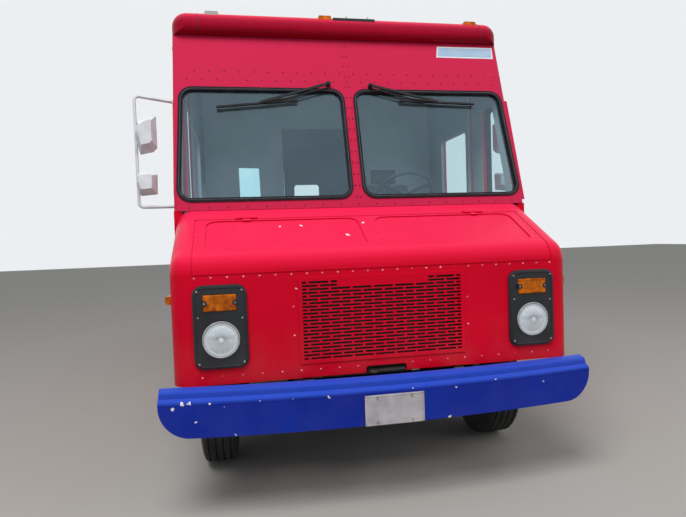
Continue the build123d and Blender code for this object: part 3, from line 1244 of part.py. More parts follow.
# Kitchen units: a counter behind the hatch and the cook line across the aisle
counter_y = (hatch_y[0] - 50, hatch_y[1] + 50)
counter = block((-INSIDE, -COUNTER_INNER), counter_y, (COUNTER_Z - COUNTER_TOP_THICK, COUNTER_Z))
counter += block(
    (-INSIDE + COUNTER_SKIRT, -COUNTER_INNER - COUNTER_SKIRT),
    (counter_y[0] + 20, counter_y[1] - 20),
    (FLOOR_TOP, COUNTER_Z - COUNTER_TOP_THICK),
)
cook_y = (hatch_y[0] + 50, hatch_y[0] + 50 + COOK_LINE_LENGTH)
cook_line = block((COOK_LINE_INNER, INSIDE), cook_y, (FLOOR_TOP, COOK_LINE_TOP))
save("kitchen_units", [counter, cook_line])


# Wheels: a tyre in flats round its tread, and a dished rim with a brake drum behind it
def ring_face(radius, x, y):
    """A face with a flat under the axle, across the truck at x."""
    outline = RegularPolygon(radius, TYRE_FLATS, major_radius=False, rotation=180 / TYRE_FLATS)
    return Plane.YZ.offset(x) * (Pos(y, TYRE_R) * outline)


def tyre_at(x, axle_y):
    """A tyre with a flat-sided tread, sloping sidewalls and beads cut back round the rim."""
    low = x - TYRE_WIDTH / 2
    tyre = extrude(ring_face(TYRE_R, low, axle_y), TYRE_WIDTH)
    for end in (0, -1):
        side = tyre.faces().sort_by(Axis.X)[end]
        tyre = chamfer(side.edges(), TYRE_R - TYRE_SIDEWALL_R, TYRE_SHOULDER, reference=side)
    tyre -= extrude(ring_face(RIM_R, low - THROUGH, axle_y), TYRE_WIDTH + 2 * THROUGH)
    for end in (0, -1):
        side = tyre.faces().sort_by(Axis.X)[end]
        tyre = chamfer(side.inner_wires()[0].edges(), BEAD_R - RIM_R, BEAD_STEP, reference=side)
    return tyre


def hand_holes(radius, x, axle_y):
    """Round holes through a wheel's disc, evenly spaced on a circle."""
    holes = []
    for place in PolarLocations(radius, HAND_HOLES):
        hole = Pos(axle_y, TYRE_R) * (place * Circle(HAND_HOLE_R))
        holes.append(extrude(Plane.YZ.offset(x[0]) * hole, x[1] - x[0]))
    return holes


rim_edge = TYRE_WIDTH / 2 - BEAD_STEP + RIM_LIP
rim_inside = RIM_R - RIM_WALL
bore = SPINDLE_R + RUNNING_FIT
front_rim_section = section_of(
    (0, 70), (HUB_R, 66), (HUB_R, 38), (BOLT_RING_R, 38), (BOLT_RING_R + 20, 18), (176, 14),
    (rim_inside, 60),
    (rim_inside, rim_edge), (RIM_R, rim_edge), (RIM_R, -rim_edge), (rim_inside, -rim_edge), (186, 0),
    (FRONT_DRUM_R, 4), (FRONT_DRUM_R, -70), (bore, -70), (bore, 12), (0, 12),
)
near, far = DUAL_SPACING / 2 - rim_edge, DUAL_SPACING / 2 + rim_edge
rear_rims_section = section_of(
    (0, 122), (HUB_R, 118), (HUB_R + 8, 16), (BOLT_RING_R, 16), (174, 62), (rim_inside, 92),
    (rim_inside, far), (RIM_R, far), (RIM_R, near), (190, near + 26), (BOLT_RING_R, 0),
    (190, -near - 26), (RIM_R, -near), (RIM_R, -far), (rim_inside, -far), (rim_inside, -92),
    (174, -62), (REAR_DRUM_R, -62), (REAR_DRUM_R, -185), (bore, -185), (bore, 98), (0, 98),
)
for side, name in ((1, "left"), (-1, "right")):
    x = side * TRACK_HALF
    rim = turned(front_rim_section, (x, FRONT_AXLE_Y, TYRE_R), name)
    rim -= hand_holes(158, (x - 40, x + 40), FRONT_AXLE_Y)
    save(f"front_rim_{name}", rim)
    save(f"front_tyre_{name}", tyre_at(x, FRONT_AXLE_Y))
    duals = turned(rear_rims_section, (side * bolt_plane, REAR_AXLE_Y, TYRE_R), name)
    duals -= hand_holes(150, sided(side, (bolt_plane - 63, bolt_plane + 100)), REAR_AXLE_Y)
    save(f"rear_rims_{name}", duals)
    save(f"rear_tyres_{name}", [tyre_at(side * place, REAR_AXLE_Y) for place in (DUAL_INNER, DUAL_OUTER)])

# Steering knuckles, each with a kingpin, spindle and arm, and the tie rod between the arms
arm_z = TYRE_R - 79
arm_thick = 30.0
for side, name in ((1, "left"), (-1, "right")):
    pin_x = side * KINGPIN_X
    knuckle = lying("Z", (pin_x, FRONT_AXLE_Y, TYRE_R), KINGPIN_R, 150)
    for z in around(TYRE_R, 60):
        knuckle += lying("Z", (pin_x, FRONT_AXLE_Y, z), 34, 30)
        knuckle += block(sided(side, (KINGPIN_X, KINGPIN_X + 50)), around(FRONT_AXLE_Y, 34), around(z, 15))
    web_x = sided(side, (KINGPIN_X + 45, KINGPIN_X + 66))
    knuckle += block(web_x, around(FRONT_AXLE_Y, 34), around(TYRE_R, 75))
    knuckle += along_x(sided(side, (KINGPIN_X + 60, KINGPIN_X + 158)), FRONT_AXLE_Y, TYRE_R, SPINDLE_R)
    rod_x = pin_x - side * STEER_ARM_IN
    arm_plan = [
        (pin_x - 22, FRONT_AXLE_Y),
        (pin_x + 22, FRONT_AXLE_Y),
        (rod_x + 18, FRONT_AXLE_Y + STEER_ARM + 20),
        (rod_x - 18, FRONT_AXLE_Y + STEER_ARM + 20),
    ]
    arm = extrude(Plane.XY.offset(arm_z) * make_face(Polyline(*arm_plan, close=True)), arm_thick)
    save(f"knuckle_{name}", knuckle + arm)
tie_z = arm_z - 21
tie = along_x(around(0, KINGPIN_X - STEER_ARM_IN), FRONT_AXLE_Y + STEER_ARM, tie_z, 14)
for x in around(0, KINGPIN_X - STEER_ARM_IN):
    tie += lying("Z", (x, FRONT_AXLE_Y + STEER_ARM, tie_z), 20, 34)
save("tie_rod", tie)
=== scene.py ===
"""A walk-in step van fitted out as a food truck, in a plain studio.

Metres, with +X the driver's side and -Y the front.
"""
import json
import math

import bmesh
import bpy
from mathutils import Matrix, Vector


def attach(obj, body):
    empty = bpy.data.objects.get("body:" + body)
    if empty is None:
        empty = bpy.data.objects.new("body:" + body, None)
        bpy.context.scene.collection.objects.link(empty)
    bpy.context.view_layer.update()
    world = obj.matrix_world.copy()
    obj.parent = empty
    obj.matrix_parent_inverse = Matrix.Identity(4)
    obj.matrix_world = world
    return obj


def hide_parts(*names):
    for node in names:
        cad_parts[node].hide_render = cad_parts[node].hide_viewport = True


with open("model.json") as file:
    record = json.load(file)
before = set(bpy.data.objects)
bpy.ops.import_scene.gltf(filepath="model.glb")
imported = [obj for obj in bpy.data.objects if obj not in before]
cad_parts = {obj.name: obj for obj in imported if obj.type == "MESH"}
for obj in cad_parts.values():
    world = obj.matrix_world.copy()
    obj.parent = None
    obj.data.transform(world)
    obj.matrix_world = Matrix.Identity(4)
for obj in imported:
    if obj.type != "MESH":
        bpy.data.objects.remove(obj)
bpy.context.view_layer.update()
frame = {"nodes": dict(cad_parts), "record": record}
nodes = frame["nodes"]


# Studio: a grey floor that the truck stands on, a white surround and two broad soft lamps.
# The main lamp is overhead, so the sloping hood catches more light than the upright front.
def linear(red, green, blue):
    """A colour written as sRGB from 0 to 255, as the shader's own values."""
    parts = [((c / 255 + 0.055) / 1.055) ** 2.4 if c > 10 else c / 255 / 12.92 for c in (red, green, blue)]
    return (*parts, 1.0)


def new_material(name):
    """An empty node material, its tree and its output."""
    material = bpy.data.materials.new(name)
    material.use_nodes = True
    tree = material.node_tree
    tree.nodes.clear()
    return material, tree, tree.nodes.new("ShaderNodeOutputMaterial")


def new_shader(name):
    """A new material, its tree and its one shader, which goes straight to the output."""
    material, tree, output = new_material(name)
    shader = tree.nodes.new("ShaderNodeBsdfPrincipled")
    tree.links.new(shader.outputs[0], output.inputs[0])
    return material, tree, shader


def seen_directly(tree):
    """A value of 1 for camera, glossy and transmitted rays."""
    rays = tree.nodes.new("ShaderNodeLightPath")
    total = rays.outputs["Is Camera Ray"]
    for name in ("Is Glossy Ray", "Is Transmission Ray"):
        add = tree.nodes.new("ShaderNodeMath")
        add.operation = "MAXIMUM"
        tree.links.new(total, add.inputs[0])
        tree.links.new(rays.outputs[name], add.inputs[1])
        total = add.outputs[0]
    return total


FLOOR_SIZE = 60.0
floor_mesh = bpy.data.meshes.new("studio_floor")
half = FLOOR_SIZE / 2
floor_mesh.from_pydata(
    [(-half, -half, 0), (half, -half, 0), (half, half, 0), (-half, half, 0)], [], [(0, 1, 2, 3)]
)
studio_floor = bpy.data.objects.new("studio_floor", floor_mesh)
bpy.context.scene.collection.objects.link(studio_floor)
floor_finish, _, shader = new_shader("grey_studio_floor")
shader.inputs["Base Color"].default_value = (0.33, 0.315, 0.295, 1)
shader.inputs["Roughness"].default_value = 0.9
floor_mesh.materials.append(floor_finish)

world = bpy.data.worlds.new("studio")
bpy.context.scene.world = world
world.use_nodes = True
tree = world.node_tree
tree.nodes.clear()
surround = tree.nodes.new("ShaderNodeBackground")
surround.inputs["Color"].default_value = (0.93, 0.96, 1.0, 1)
surround.inputs["Strength"].default_value = 0.5
backdrop = tree.nodes.new("ShaderNodeBackground")
backdrop.inputs["Color"].default_value = (0.84, 0.86, 0.88, 1)
backdrop.inputs["Strength"].default_value = 1.0
mix = tree.nodes.new("ShaderNodeMixShader")
tree.links.new(seen_directly(tree), mix.inputs[0])
tree.links.new(surround.outputs[0], mix.inputs[1])
tree.links.new(backdrop.outputs[0], mix.inputs[2])
tree.links.new(mix.outputs[0], tree.nodes.new("ShaderNodeOutputWorld").inputs[0])

AIM = Vector((0, -2.4, 1.2))
for name, place, size, power in (
    ("key_lamp", (-2.2, -6.2, 8.5), 5.0, 760.0),
    ("fill_lamp", (6.0, -6.5, 4.5), 5.0, 150.0),
):
    lamp = bpy.data.lights.new(name, "AREA")
    lamp.shape = "DISK"
    lamp.size = size
    lamp.energy = power
    holder = bpy.data.objects.new(name, lamp)
    holder.location = place
    holder.rotation_euler = (AIM - Vector(place)).to_track_quat("-Z", "Y").to_euler()
    holder.visible_glossy = False
    bpy.context.scene.collection.objects.link(holder)


# Camera: at eye height, close to the nose and a little to the kerb side, and rolled slightly.
# From there a wide lens takes in the whole front.
EYE = Vector((-0.7245, -5.6322, 1.3611))
YAW, PITCH, ROLL = (math.radians(angle) for angle in (10.7, 2.3, 2.0))
LENS = 28.57
ahead = Vector((math.sin(YAW) * math.cos(PITCH), math.cos(YAW) * math.cos(PITCH), -math.sin(PITCH)))
level = Vector((math.cos(YAW), -math.sin(YAW), 0))
upward = level.cross(ahead)
across = level * math.cos(ROLL) - upward * math.sin(ROLL)
upright = level * math.sin(ROLL) + upward * math.cos(ROLL)
eye = bpy.data.cameras.new("eye")
eye.lens = LENS
eye.sensor_width = 36.0
eye.clip_end = 200.0
camera = bpy.data.objects.new("eye", eye)
camera.matrix_world = Matrix.Translation(EYE) @ Matrix((across, upright, -ahead)).transposed().to_4x4()
bpy.context.scene.collection.objects.link(camera)
bpy.context.scene.camera = camera
bpy.context.scene.view_settings.view_transform = "Standard"


# Body shells: riveted sheet metal panels in gloss red enamel, brushed on over older coats.
# The coat is lighter and pinker where it faces up, a painted sky sheen; it is chipped to white in small
# spots, and dusty near the ground.
def link_all(tree, *pairs):
    """Links each (output, input) pair."""
    for start, end in pairs:
        tree.links.new(start, end)


def object_place(tree):
    """Object coordinates, on which every pattern is laid."""
    return tree.nodes.new("ShaderNodeTexCoord").outputs["Object"]


def noise(tree, scale, detail=4.0, stretch=None):
    """Noise in object coordinates, in waves per metre, drawn out along an axis where stretch says so."""
    place = object_place(tree)
    if stretch:
        turn = tree.nodes.new("ShaderNodeMapping")
        turn.inputs["Scale"].default_value = stretch
        tree.links.new(place, turn.inputs["Vector"])
        place = turn.outputs[0]
    texture = tree.nodes.new("ShaderNodeTexNoise")
    texture.inputs["Scale"].default_value = scale
    texture.inputs["Detail"].default_value = detail
    tree.links.new(place, texture.inputs["Vector"])
    return texture.outputs["Fac"]


def ramp(tree, value, *stops):
    """A colour ramp through (place, colour) stops."""
    node = tree.nodes.new("ShaderNodeValToRGB")
    while len(node.color_ramp.elements) < len(stops):
        node.color_ramp.elements.new(0.5)
    for element, (place, colour) in zip(node.color_ramp.elements, stops):
        element.position = place
        element.color = colour
    tree.links.new(value, node.inputs[0])
    return node.outputs[0]


def sums(tree, operation, *values):
    """A Math node on outputs and plain numbers."""
    node = tree.nodes.new("ShaderNodeMath")
    node.operation = operation
    for socket, value in zip(node.inputs, values):
        if isinstance(value, (int, float)):
            socket.default_value = value
        else:
            tree.links.new(value, socket)
    return node.outputs[0]


def spread(tree, value, low, high, new_low=0.0, new_high=1.0):
    """A value moved from one range to another, held at the ends."""
    node = tree.nodes.new("ShaderNodeMapRange")
    for socket, number in zip(node.inputs[1:5], (low, high, new_low, new_high)):
        socket.default_value = number
    tree.links.new(value, node.inputs[0])
    return node.outputs[0]


def place_of(tree):
    """Object coordinates, as separate X, Y and Z."""
    split = tree.nodes.new("ShaderNodeSeparateXYZ")
    tree.links.new(object_place(tree), split.inputs[0])
    return split.outputs


def mixed(tree, amount, first, second):
    """One colour over another, where first and second are outputs or plain colours."""
    node = tree.nodes.new("ShaderNodeMix")
    node.data_type = "RGBA"
    for socket, value in ((node.inputs[0], amount), (node.inputs[6], first), (node.inputs[7], second)):
        if isinstance(value, (tuple, float)):
            socket.default_value = value
        else:
            tree.links.new(value, socket)
    return node.outputs[2]


def relief(tree, height, strength, distance):
    """A surface's normals, raised by a height."""
    rise = tree.nodes.new("ShaderNodeBump")
    rise.inputs["Strength"].default_value = strength
    rise.inputs["Distance"].default_value = distance
    tree.links.new(height, rise.inputs["Height"])
    return rise.outputs[0]


RAGGED = 0.03


def near_marks(tree, marks):
    """A value of 1 at each of a few marks, whose outlines wander by the ragged width."""
    wander = tree.nodes.new("ShaderNodeTexNoise")
    wander.inputs["Scale"].default_value = 70.0
    place = object_place(tree)
    tree.links.new(place, wander.inputs["Vector"])
    shift = tree.nodes.new("ShaderNodeVectorMath")
    shift.operation = "MULTIPLY_ADD"
    shift.inputs[1].default_value = (RAGGED, RAGGED, RAGGED)
    tree.links.new(wander.outputs["Color"], shift.inputs[0])
    tree.links.new(place, shift.inputs[2])
    nearest = 1.0
    for point, size in marks:
        reach = tree.nodes.new("ShaderNodeVectorMath")
        reach.operation = "DISTANCE"
        reach.inputs[1].default_value = Vector(point) + Vector((RAGGED, RAGGED, RAGGED)) / 2
        tree.links.new(shift.outputs[0], reach.inputs[0])
        nearest = sums(tree, "MINIMUM", nearest, sums(tree, "DIVIDE", reach.outputs["Value"], size))
    return sums(tree, "LESS_THAN", nearest, 1.0)


SCREEN_SLOPE = 0.309
INSIDE_FRONT, INSIDE_FLOOR, INSIDE_ROOF = -2.842, 0.83, 2.7605


def inside_body(tree, half_width, tail):
    """A value of 1 on the faces that look into the cab and the kitchen, which end at a side and a tail."""
    where = place_of(tree)
    lean = sums(tree, "SUBTRACT", where["Y"], sums(tree, "MULTIPLY", where["Z"], SCREEN_SLOPE))
    inner = sums(tree, "LESS_THAN", sums(tree, "ABSOLUTE", where["X"]), half_width)
    for test, value, limit in (
        ("GREATER_THAN", lean, INSIDE_FRONT),
        ("LESS_THAN", where["Y"], tail),
        ("GREATER_THAN", where["Z"], INSIDE_FLOOR),
        ("LESS_THAN", where["Z"], INSIDE_ROOF),
    ):
        inner = sums(tree, "MULTIPLY", inner, sums(tree, test, value, limit))
    return inner


DUST = linear(150, 138, 122)
CHIP = linear(214, 212, 210)
RUST = linear(96, 52, 30)
LINING = linear(172, 178, 184)
DUSTY_HEIGHTS = (0.35, 0.95)
SLOPING, FACING_UP = (0.03, 0.28), (0.35, 0.8)


def finish(
    name, shades, gloss=(0.35, 0.5), metallic=0.0, patches=2.5, grain=(120.0, 0.1, 0.001), stretch=None,
    coat=0.0, dust=0.0, chips=0.0, rust=0.0, specular=0.5, sky_sheen=None, lined=None, marks=(),
):
    """A surface with two close shades, uneven gloss and a fine grain, wear and weather, and a painted sky
    sheen where it faces up.

    Shades are a pair of sRGB colours, and so is the sky sheen: a painted sheen for what slopes and for what
    faces up.
    Gloss is a range of roughness. Grain is its waves per metre, strength and depth.
    Marks are chipped places, each a point with its radius.
    A lined shell is pale on the inside of the body, as far as the side and the tail that it is given.
    """
    material, tree, shader = new_shader(name)
    colour = ramp(tree, noise(tree, patches), (0.35, linear(*shades[0])), (0.68, linear(*shades[1])))
    # Painted sky sheen: the colour turns lighter where the surface slopes and faces up.
    if sky_sheen:
        facing = tree.nodes.new("ShaderNodeSeparateXYZ")
        tree.links.new(tree.nodes.new("ShaderNodeTexCoord").outputs["Normal"], facing.inputs[0])
        sloping, upper = [linear(*shade) for shade in sky_sheen]
        upper = mixed(tree, spread(tree, facing.outputs["Z"], *FACING_UP), sloping, upper)
        colour = mixed(tree, spread(tree, facing.outputs["Z"], *SLOPING), colour, upper)
    if rust:
        spots = spread(tree, noise(tree, 22.0, 8.0), 0.72 - rust * 0.3, 0.78 - rust * 0.3)
        colour = mixed(tree, spots, colour, RUST)
    if chips:
        dots = tree.nodes.new("ShaderNodeTexVoronoi")
        dots.inputs["Scale"].default_value = 9.0
        tree.links.new(object_place(tree), dots.inputs["Vector"])
        size = spread(tree, noise(tree, 3.1, 2.0), 0.5, 0.75, 0.0, chips)
        uneven = sums(tree, "MULTIPLY", sums(tree, "SUBTRACT", noise(tree, 120.0), 0.5), 0.05)
        chipped = sums(tree, "LESS_THAN", dots.outputs["Distance"], sums(tree, "ADD", size, uneven))
        colour = mixed(tree, chipped, colour, CHIP)
    if marks:
        colour = mixed(tree, near_marks(tree, marks), colour, CHIP)
    if lined:
        colour = mixed(tree, inside_body(tree, *lined), colour, LINING)
    if dust:
        low = spread(tree, place_of(tree)["Z"], *DUSTY_HEIGHTS, dust, 0.0)
        film = sums(tree, "MULTIPLY", low, spread(tree, noise(tree, 7.0, 8.0), 0.35, 0.75))
        colour = mixed(tree, film, colour, DUST)
    waves, strength, depth = grain
    link_all(
        tree,
        (colour, shader.inputs["Base Color"]),
        (spread(tree, noise(tree, patches * 5, 6.0, stretch), 0.3, 0.7, *gloss), shader.inputs["Roughness"]),
        (relief(tree, noise(tree, waves, 3.0, stretch), strength, depth), shader.inputs["Normal"]),
    )
    shader.inputs["Metallic"].default_value = metallic
    shader.inputs["Specular IOR Level"].default_value = specular
    if coat:
        shader.inputs["Coat Weight"].default_value = coat
        shader.inputs["Coat Roughness"].default_value = 0.1
    return material


def finish_nodes(material, *names):
    """Gives CAD nodes one material in place of their packed one."""
    for name in names:
        for place in nodes[name].material_slots:
            place.material = material


HOOD_MARKS = (
    ((-0.499, -2.59, 1.435), 0.009), ((-0.383, -2.586, 1.437), 0.011), ((-0.138, -2.698, 1.377), 0.012),
    ((-0.569, -2.775, 1.336), 0.006), ((-0.025, -2.585, 1.438), 0.006), ((-0.857, -2.584, 1.438), 0.006),
    ((-0.454, -2.897, 1.111), 0.006), ((0.62, -2.54, 1.462), 0.009),
)
# The sheen colours are painted sky light: a lighter, pinker red where a panel slopes and where it faces up.
RED_COAT = dict(
    gloss=(0.26, 0.4), patches=1.3, grain=(85.0, 0.05, 0.002), dust=0.15, chips=0.02, specular=0.1,
    sky_sheen=((198, 12, 46), (210, 32, 70)),
)
ROOF_COAT = dict(RED_COAT, sky_sheen=((140, 14, 40), (190, 26, 60)))
SCREEN_COAT = dict(RED_COAT, sky_sheen=((176, 32, 66), (176, 32, 66)))
RED_SHADES = ((188, 0, 32), (202, 2, 38))
# The roof's reds are darker than the body's: painted shade on its front roll, which faces forward and down.
ROOF_REDS_IN_SHADE = ((126, 1, 26), (142, 2, 32))
WALL_INSIDE = (1.0405, 2.8655)
red_enamel = finish("red_enamel", RED_SHADES, **RED_COAT)
painted_red = [part["node"] for part in frame["record"]["subparts"] if part["material_slot"] == "red_paint"]
finish_nodes(red_enamel, *painted_red)
finish_nodes(finish("marked_enamel", RED_SHADES, marks=HOOD_MARKS, **RED_COAT), "hood", "front_panel")
for name, shades, coat, inside, shells in (
    ("lined_enamel", RED_SHADES, RED_COAT, WALL_INSIDE, ("side_wall_left", "side_wall_right", "rear_frame")),
    ("screen_enamel", RED_SHADES, SCREEN_COAT, WALL_INSIDE, ("windscreen_panel",)),
    ("roof_enamel_painted_shade", ROOF_REDS_IN_SHADE, ROOF_COAT, WALL_INSIDE, ("roof",)),
    ("cab_door_enamel", RED_SHADES, RED_COAT, (1.02, 2.8655), ("door_left", "door_right")),
    ("hatch_enamel", RED_SHADES, RED_COAT, (1.0455, 2.8655), ("serving_hatch",)),
    ("rear_door_enamel", RED_SHADES, RED_COAT, (1.0405, 2.8905), ("rear_door_left", "rear_door_right")),
):
    finish_nodes(finish(name, shades, lined=inside, **coat), *shells)
worn_rivet = finish("worn_rivet_paint", ((190, 4, 38), (236, 150, 168)), (0.3, 0.5), patches=16.0)
# The windscreen panel's rivets are a dark red as painted shadow round their heads.
shadowed_rivet = finish("rivet_painted_shadow", ((104, 8, 28), (140, 12, 40)), (0.3, 0.5), patches=16.0)


# Rivets: small domed heads in rows along the panel edges, posts and roof rails, painted over with the body.
# Each is a low eight-sided head, set on the panel by its row's place and the way that the panel faces.
NOSE, TAIL = -2.897, 2.91
HALF_WIDTH = 1.085
HOOD_LEAN = math.atan2(0.267, 0.5)
HOOD_FOOT = 1.271
SCREEN_LEAN = math.atan(SCREEN_SLOPE)
SCREEN_SETBACK, SCREEN_FOOT = 0.494, 1.538
hood_face = Vector((0, -math.sin(HOOD_LEAN), math.cos(HOOD_LEAN)))
screen_face = Vector((0, -math.cos(SCREEN_LEAN), math.sin(SCREEN_LEAN)))


def behind(setback):
    """The place along the truck of a distance behind the front panel."""
    return NOSE + setback


def on_hood(x, setback, out=0.0):
    """A point on the sloping hood, or above it."""
    return Vector((x, behind(setback), HOOD_FOOT + math.tan(HOOD_LEAN) * setback)) + hood_face * out


def on_screen(x, height, out=0.0):
    """A point on the leaning windscreen panel, or in front of it."""
    setback = SCREEN_SETBACK + SCREEN_SLOPE * (height - SCREEN_FOOT)
    return Vector((x, behind(setback), height)) + screen_face * out


def steps(start, end, pitch):
    """Evenly spaced places from a start to an end, near a pitch apart."""
    count = max(1, round(abs(end - start) / pitch))
    return [start + (end - start) * i / count for i in range(count + 1)]


def dress(mesh, name, material, body):
    """Makes a finished mesh a piece that rides on a body."""
    if not mesh.materials:
        mesh.materials.append(material)
    piece = bpy.data.objects.new(name, mesh)
    bpy.context.scene.collection.objects.link(piece)
    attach(piece, body)
    return piece


HEAD_INPUTS = (
    ("Foot radius", "Float"), ("Top radius", "Float"), ("Height", "Float"), ("Sides", "Int"),
    ("Finish", "Material"),
)


def head_tree(name):
    """Geometry Nodes that set one head on each point, turned the way the point faces."""
    tree = bpy.data.node_groups.new(name, "GeometryNodeTree")
    sockets = {}
    tree.interface.new_socket("Points", in_out="INPUT", socket_type="NodeSocketGeometry")
    for label, kind in HEAD_INPUTS:
        socket = tree.interface.new_socket(label, in_out="INPUT", socket_type="NodeSocket" + kind)
        sockets[label] = socket.identifier
    tree.interface.new_socket("Heads", in_out="OUTPUT", socket_type="NodeSocketGeometry")
    given = tree.nodes.new("NodeGroupInput")
    head = tree.nodes.new("GeometryNodeMeshCone")
    facing = tree.nodes.new("GeometryNodeInputNamedAttribute")
    facing.data_type = "FLOAT_VECTOR"
    facing.inputs[0].default_value = "facing"
    turn = tree.nodes.new("FunctionNodeAlignRotationToVector")
    turn.axis = "Z"
    spread_heads = tree.nodes.new("GeometryNodeInstanceOnPoints")
    real = tree.nodes.new("GeometryNodeRealizeInstances")
    paint = tree.nodes.new("GeometryNodeSetMaterial")
    result = tree.nodes.new("NodeGroupOutput")
    link_all(
        tree,
        (given.outputs["Points"], spread_heads.inputs["Points"]),
        (given.outputs["Sides"], head.inputs["Vertices"]),
        (given.outputs["Top radius"], head.inputs["Radius Top"]),
        (given.outputs["Foot radius"], head.inputs["Radius Bottom"]),
        (given.outputs["Height"], head.inputs["Depth"]),
        (head.outputs["Mesh"], spread_heads.inputs["Instance"]),
        (facing.outputs["Attribute"], turn.inputs["Vector"]),
        (turn.outputs[0], spread_heads.inputs["Rotation"]),
        (spread_heads.outputs[0], real.inputs[0]),
        (real.outputs[0], paint.inputs["Geometry"]),
        (given.outputs["Finish"], paint.inputs["Material"]),
        (paint.outputs[0], result.inputs[0]),
    )
    return tree, sockets


heads_tree, head_sockets = head_tree("heads_on_points")


def heads(name, sites, size, material, body, sides=8):
    """One mesh of small heads, from (point, facing) sites and (foot radius, top radius, height)."""
    mesh = bpy.data.meshes.new(name)
    mesh.from_pydata([tuple(point) for point, _ in sites], [], [])
    facing = mesh.attributes.new("facing", "FLOAT_VECTOR", "POINT")
    for entry, (_, direction) in zip(facing.data, sites):
        entry.vector = direction
    carrier = bpy.data.objects.new(name + "_points", mesh)
    bpy.context.scene.collection.objects.link(carrier)
    modifier = carrier.modifiers.new("heads", "NODES")
    modifier.node_group = heads_tree
    for socket, value in zip(head_sockets.values(), (*size, sides, material)):
        modifier[socket] = value
    evaluated = carrier.evaluated_get(bpy.context.evaluated_depsgraph_get())
    baked = bpy.data.meshes.new_from_object(evaluated)
    bpy.data.objects.remove(carrier)
    for attribute in [a for a in baked.attributes if a.name == "facing"]:
        baked.attributes.remove(attribute)
    return dress(baked, name, material, body)


FRONT, BACK, UP, LEFT, RIGHT = (Vector(v) for v in ((0, -1, 0), (0, 1, 0), (0, 0, 1), (1, 0, 0), (-1, 0, 0)))
SIDES = ((1, "left"), (-1, "right"))
FRONT_RIVET, SCREEN_RIVET = (0.0055, 0.003, 0.003), (0.006, 0.0035, 0.003)
HOOD_RIVET, BODY_RIVET = (0.006, 0.0035, 0.0025), (0.0065, 0.0035, 0.003)
sites = [((x, NOSE, 1.181), FRONT) for x in steps(-0.95, 0.95, 0.079)]
sites += [((x, NOSE, 0.69), FRONT) for x in steps(-0.93, 0.93, 0.098) if abs(x - 0.005) > 0.14]
sites += [((x, NOSE, z), FRONT) for x in (-0.47, 0.464) for z in (0.87, 1.016)]
heads("front_rivets", sites, FRONT_RIVET, worn_rivet, "truck")
sites = []
for x in steps(-1.0, 1.0, 0.09):
    sites.append((on_screen(x, 2.357), screen_face))
    sites.append((on_screen(min(x + 0.045, 1.03), 2.414), screen_face))
sites += [(on_screen(x, z), screen_face) for z in steps(1.6, 2.61, 0.07) for x in (-0.013, 0.013)]
sites += [(on_screen(x, 1.556), screen_face) for x in steps(-1.0, 1.0, 0.11)]
heads("screen_rivets", sites, SCREEN_RIVET, shadowed_rivet, "truck")

# The posts of the walls, by their distance behind the nose. Over the rear wheels they start higher,
# and the rivets miss the two rub rails.
WALL_POSTS = {1: (1.9, 2.55, 3.2, 3.75, 4.55, 5.1, 5.7), -1: (1.9, 2.55, 4.5, 5.1, 5.7)}
REAR_SETBACK, ARCH_HALF = 4.138, 0.46
POST_FOOT, ARCH_TOP = 0.55, 0.86
RUB_RAILS = ((0.84, 0.92), (1.22, 1.3))
sites = []
for side, facing in ((1, LEFT), (-1, RIGHT)):
    edge = HALF_WIDTH * side
    sites += [((edge, behind(s), z), facing) for z in (2.575, 2.645) for s in steps(1.0, 5.7, 0.1)]
    for post in WALL_POSTS[side]:
        foot = ARCH_TOP if abs(post - REAR_SETBACK) < ARCH_HALF else POST_FOOT
        for z in steps(foot, 2.5, 0.1):
            if not any(low < z < high for low, high in RUB_RAILS):
                sites.append(((edge, behind(post), z), facing))
sites += [((x, TAIL, z), BACK) for x in (-0.81, 0.81, -1.02, 1.02) for z in steps(0.7, 2.5, 0.12)]
sites += [((x, TAIL, 2.52), BACK) for x in steps(-0.9, 0.9, 0.1)]
heads("body_rivets", sites, BODY_RIVET, red_enamel, "truck")
sites = [(on_hood(x, s), hood_face) for x in (-0.94, 0.94) for s in steps(0.085, 0.35, 0.044)]
heads("hood_rivets", sites, HOOD_RIVET, red_enamel, "hood")
for side, name in SIDES:
    sites = [((x * side, 2.93, z), BACK) for x in (0.03, 0.66) for z in steps(0.9, 2.36, 0.12)]
    heads(f"rear_rivets_{name}", sites, BODY_RIVET, red_enamel, f"rear_door_{name}")


# Blank sticker: a pale blue vinyl label with a white border and no print.
# Its face lies on a slightly larger backing, stuck to the painted panel above the windscreen.
def prism(form, corners, depth):
    """Adds a closed slab: an outline of points, drawn out along a vector."""
    depth = Vector(depth)
    low = [form.verts.new(point) for point in corners]
    high = [form.verts.new(Vector(point) + depth) for point in corners]
    form.faces.new(low)
    form.faces.new(high[::-1])
    for i in range(len(low)):
        j = (i + 1) % len(low)
        form.faces.new((low[i], high[i], high[j], low[j]))


def brick(form, low, high):
    """Adds a block between two corners, given in any order."""
    (x0, x1), (y0, y1), (z0, z1) = [sorted(pair) for pair in zip(low, high)]
    prism(form, [(x0, y0, z0), (x1, y0, z0), (x1, y1, z0), (x0, y1, z0)], (0, 0, z1 - z0))


def close_form(form, name, bevel=0.0, rounds=2, smooth=40.0):
    """A mesh from a form: doubles merged, faces outward, sharp edges rounded."""
    bmesh.ops.remove_doubles(form, verts=form.verts, dist=1e-5)
    bmesh.ops.recalc_face_normals(form, faces=form.faces)
    if bevel:
        edges = [e for e in form.edges if e.is_manifold and e.calc_face_angle() > math.radians(35)]
        bmesh.ops.bevel(
            form, geom=edges, offset=bevel, segments=rounds, profile=0.5, affect="EDGES", clamp_overlap=True
        )
    mesh = bpy.data.meshes.new(name)
    form.to_mesh(mesh)
    form.free()
    mesh.shade_smooth()
    mesh.set_sharp_from_angle(angle=math.radians(smooth))
    return mesh


def fit(form, name, material, body, slot, **edges):
    """Closes a form and makes it a piece that rides on a body."""
    return dress(close_form(form, name, **edges), name, material, body)


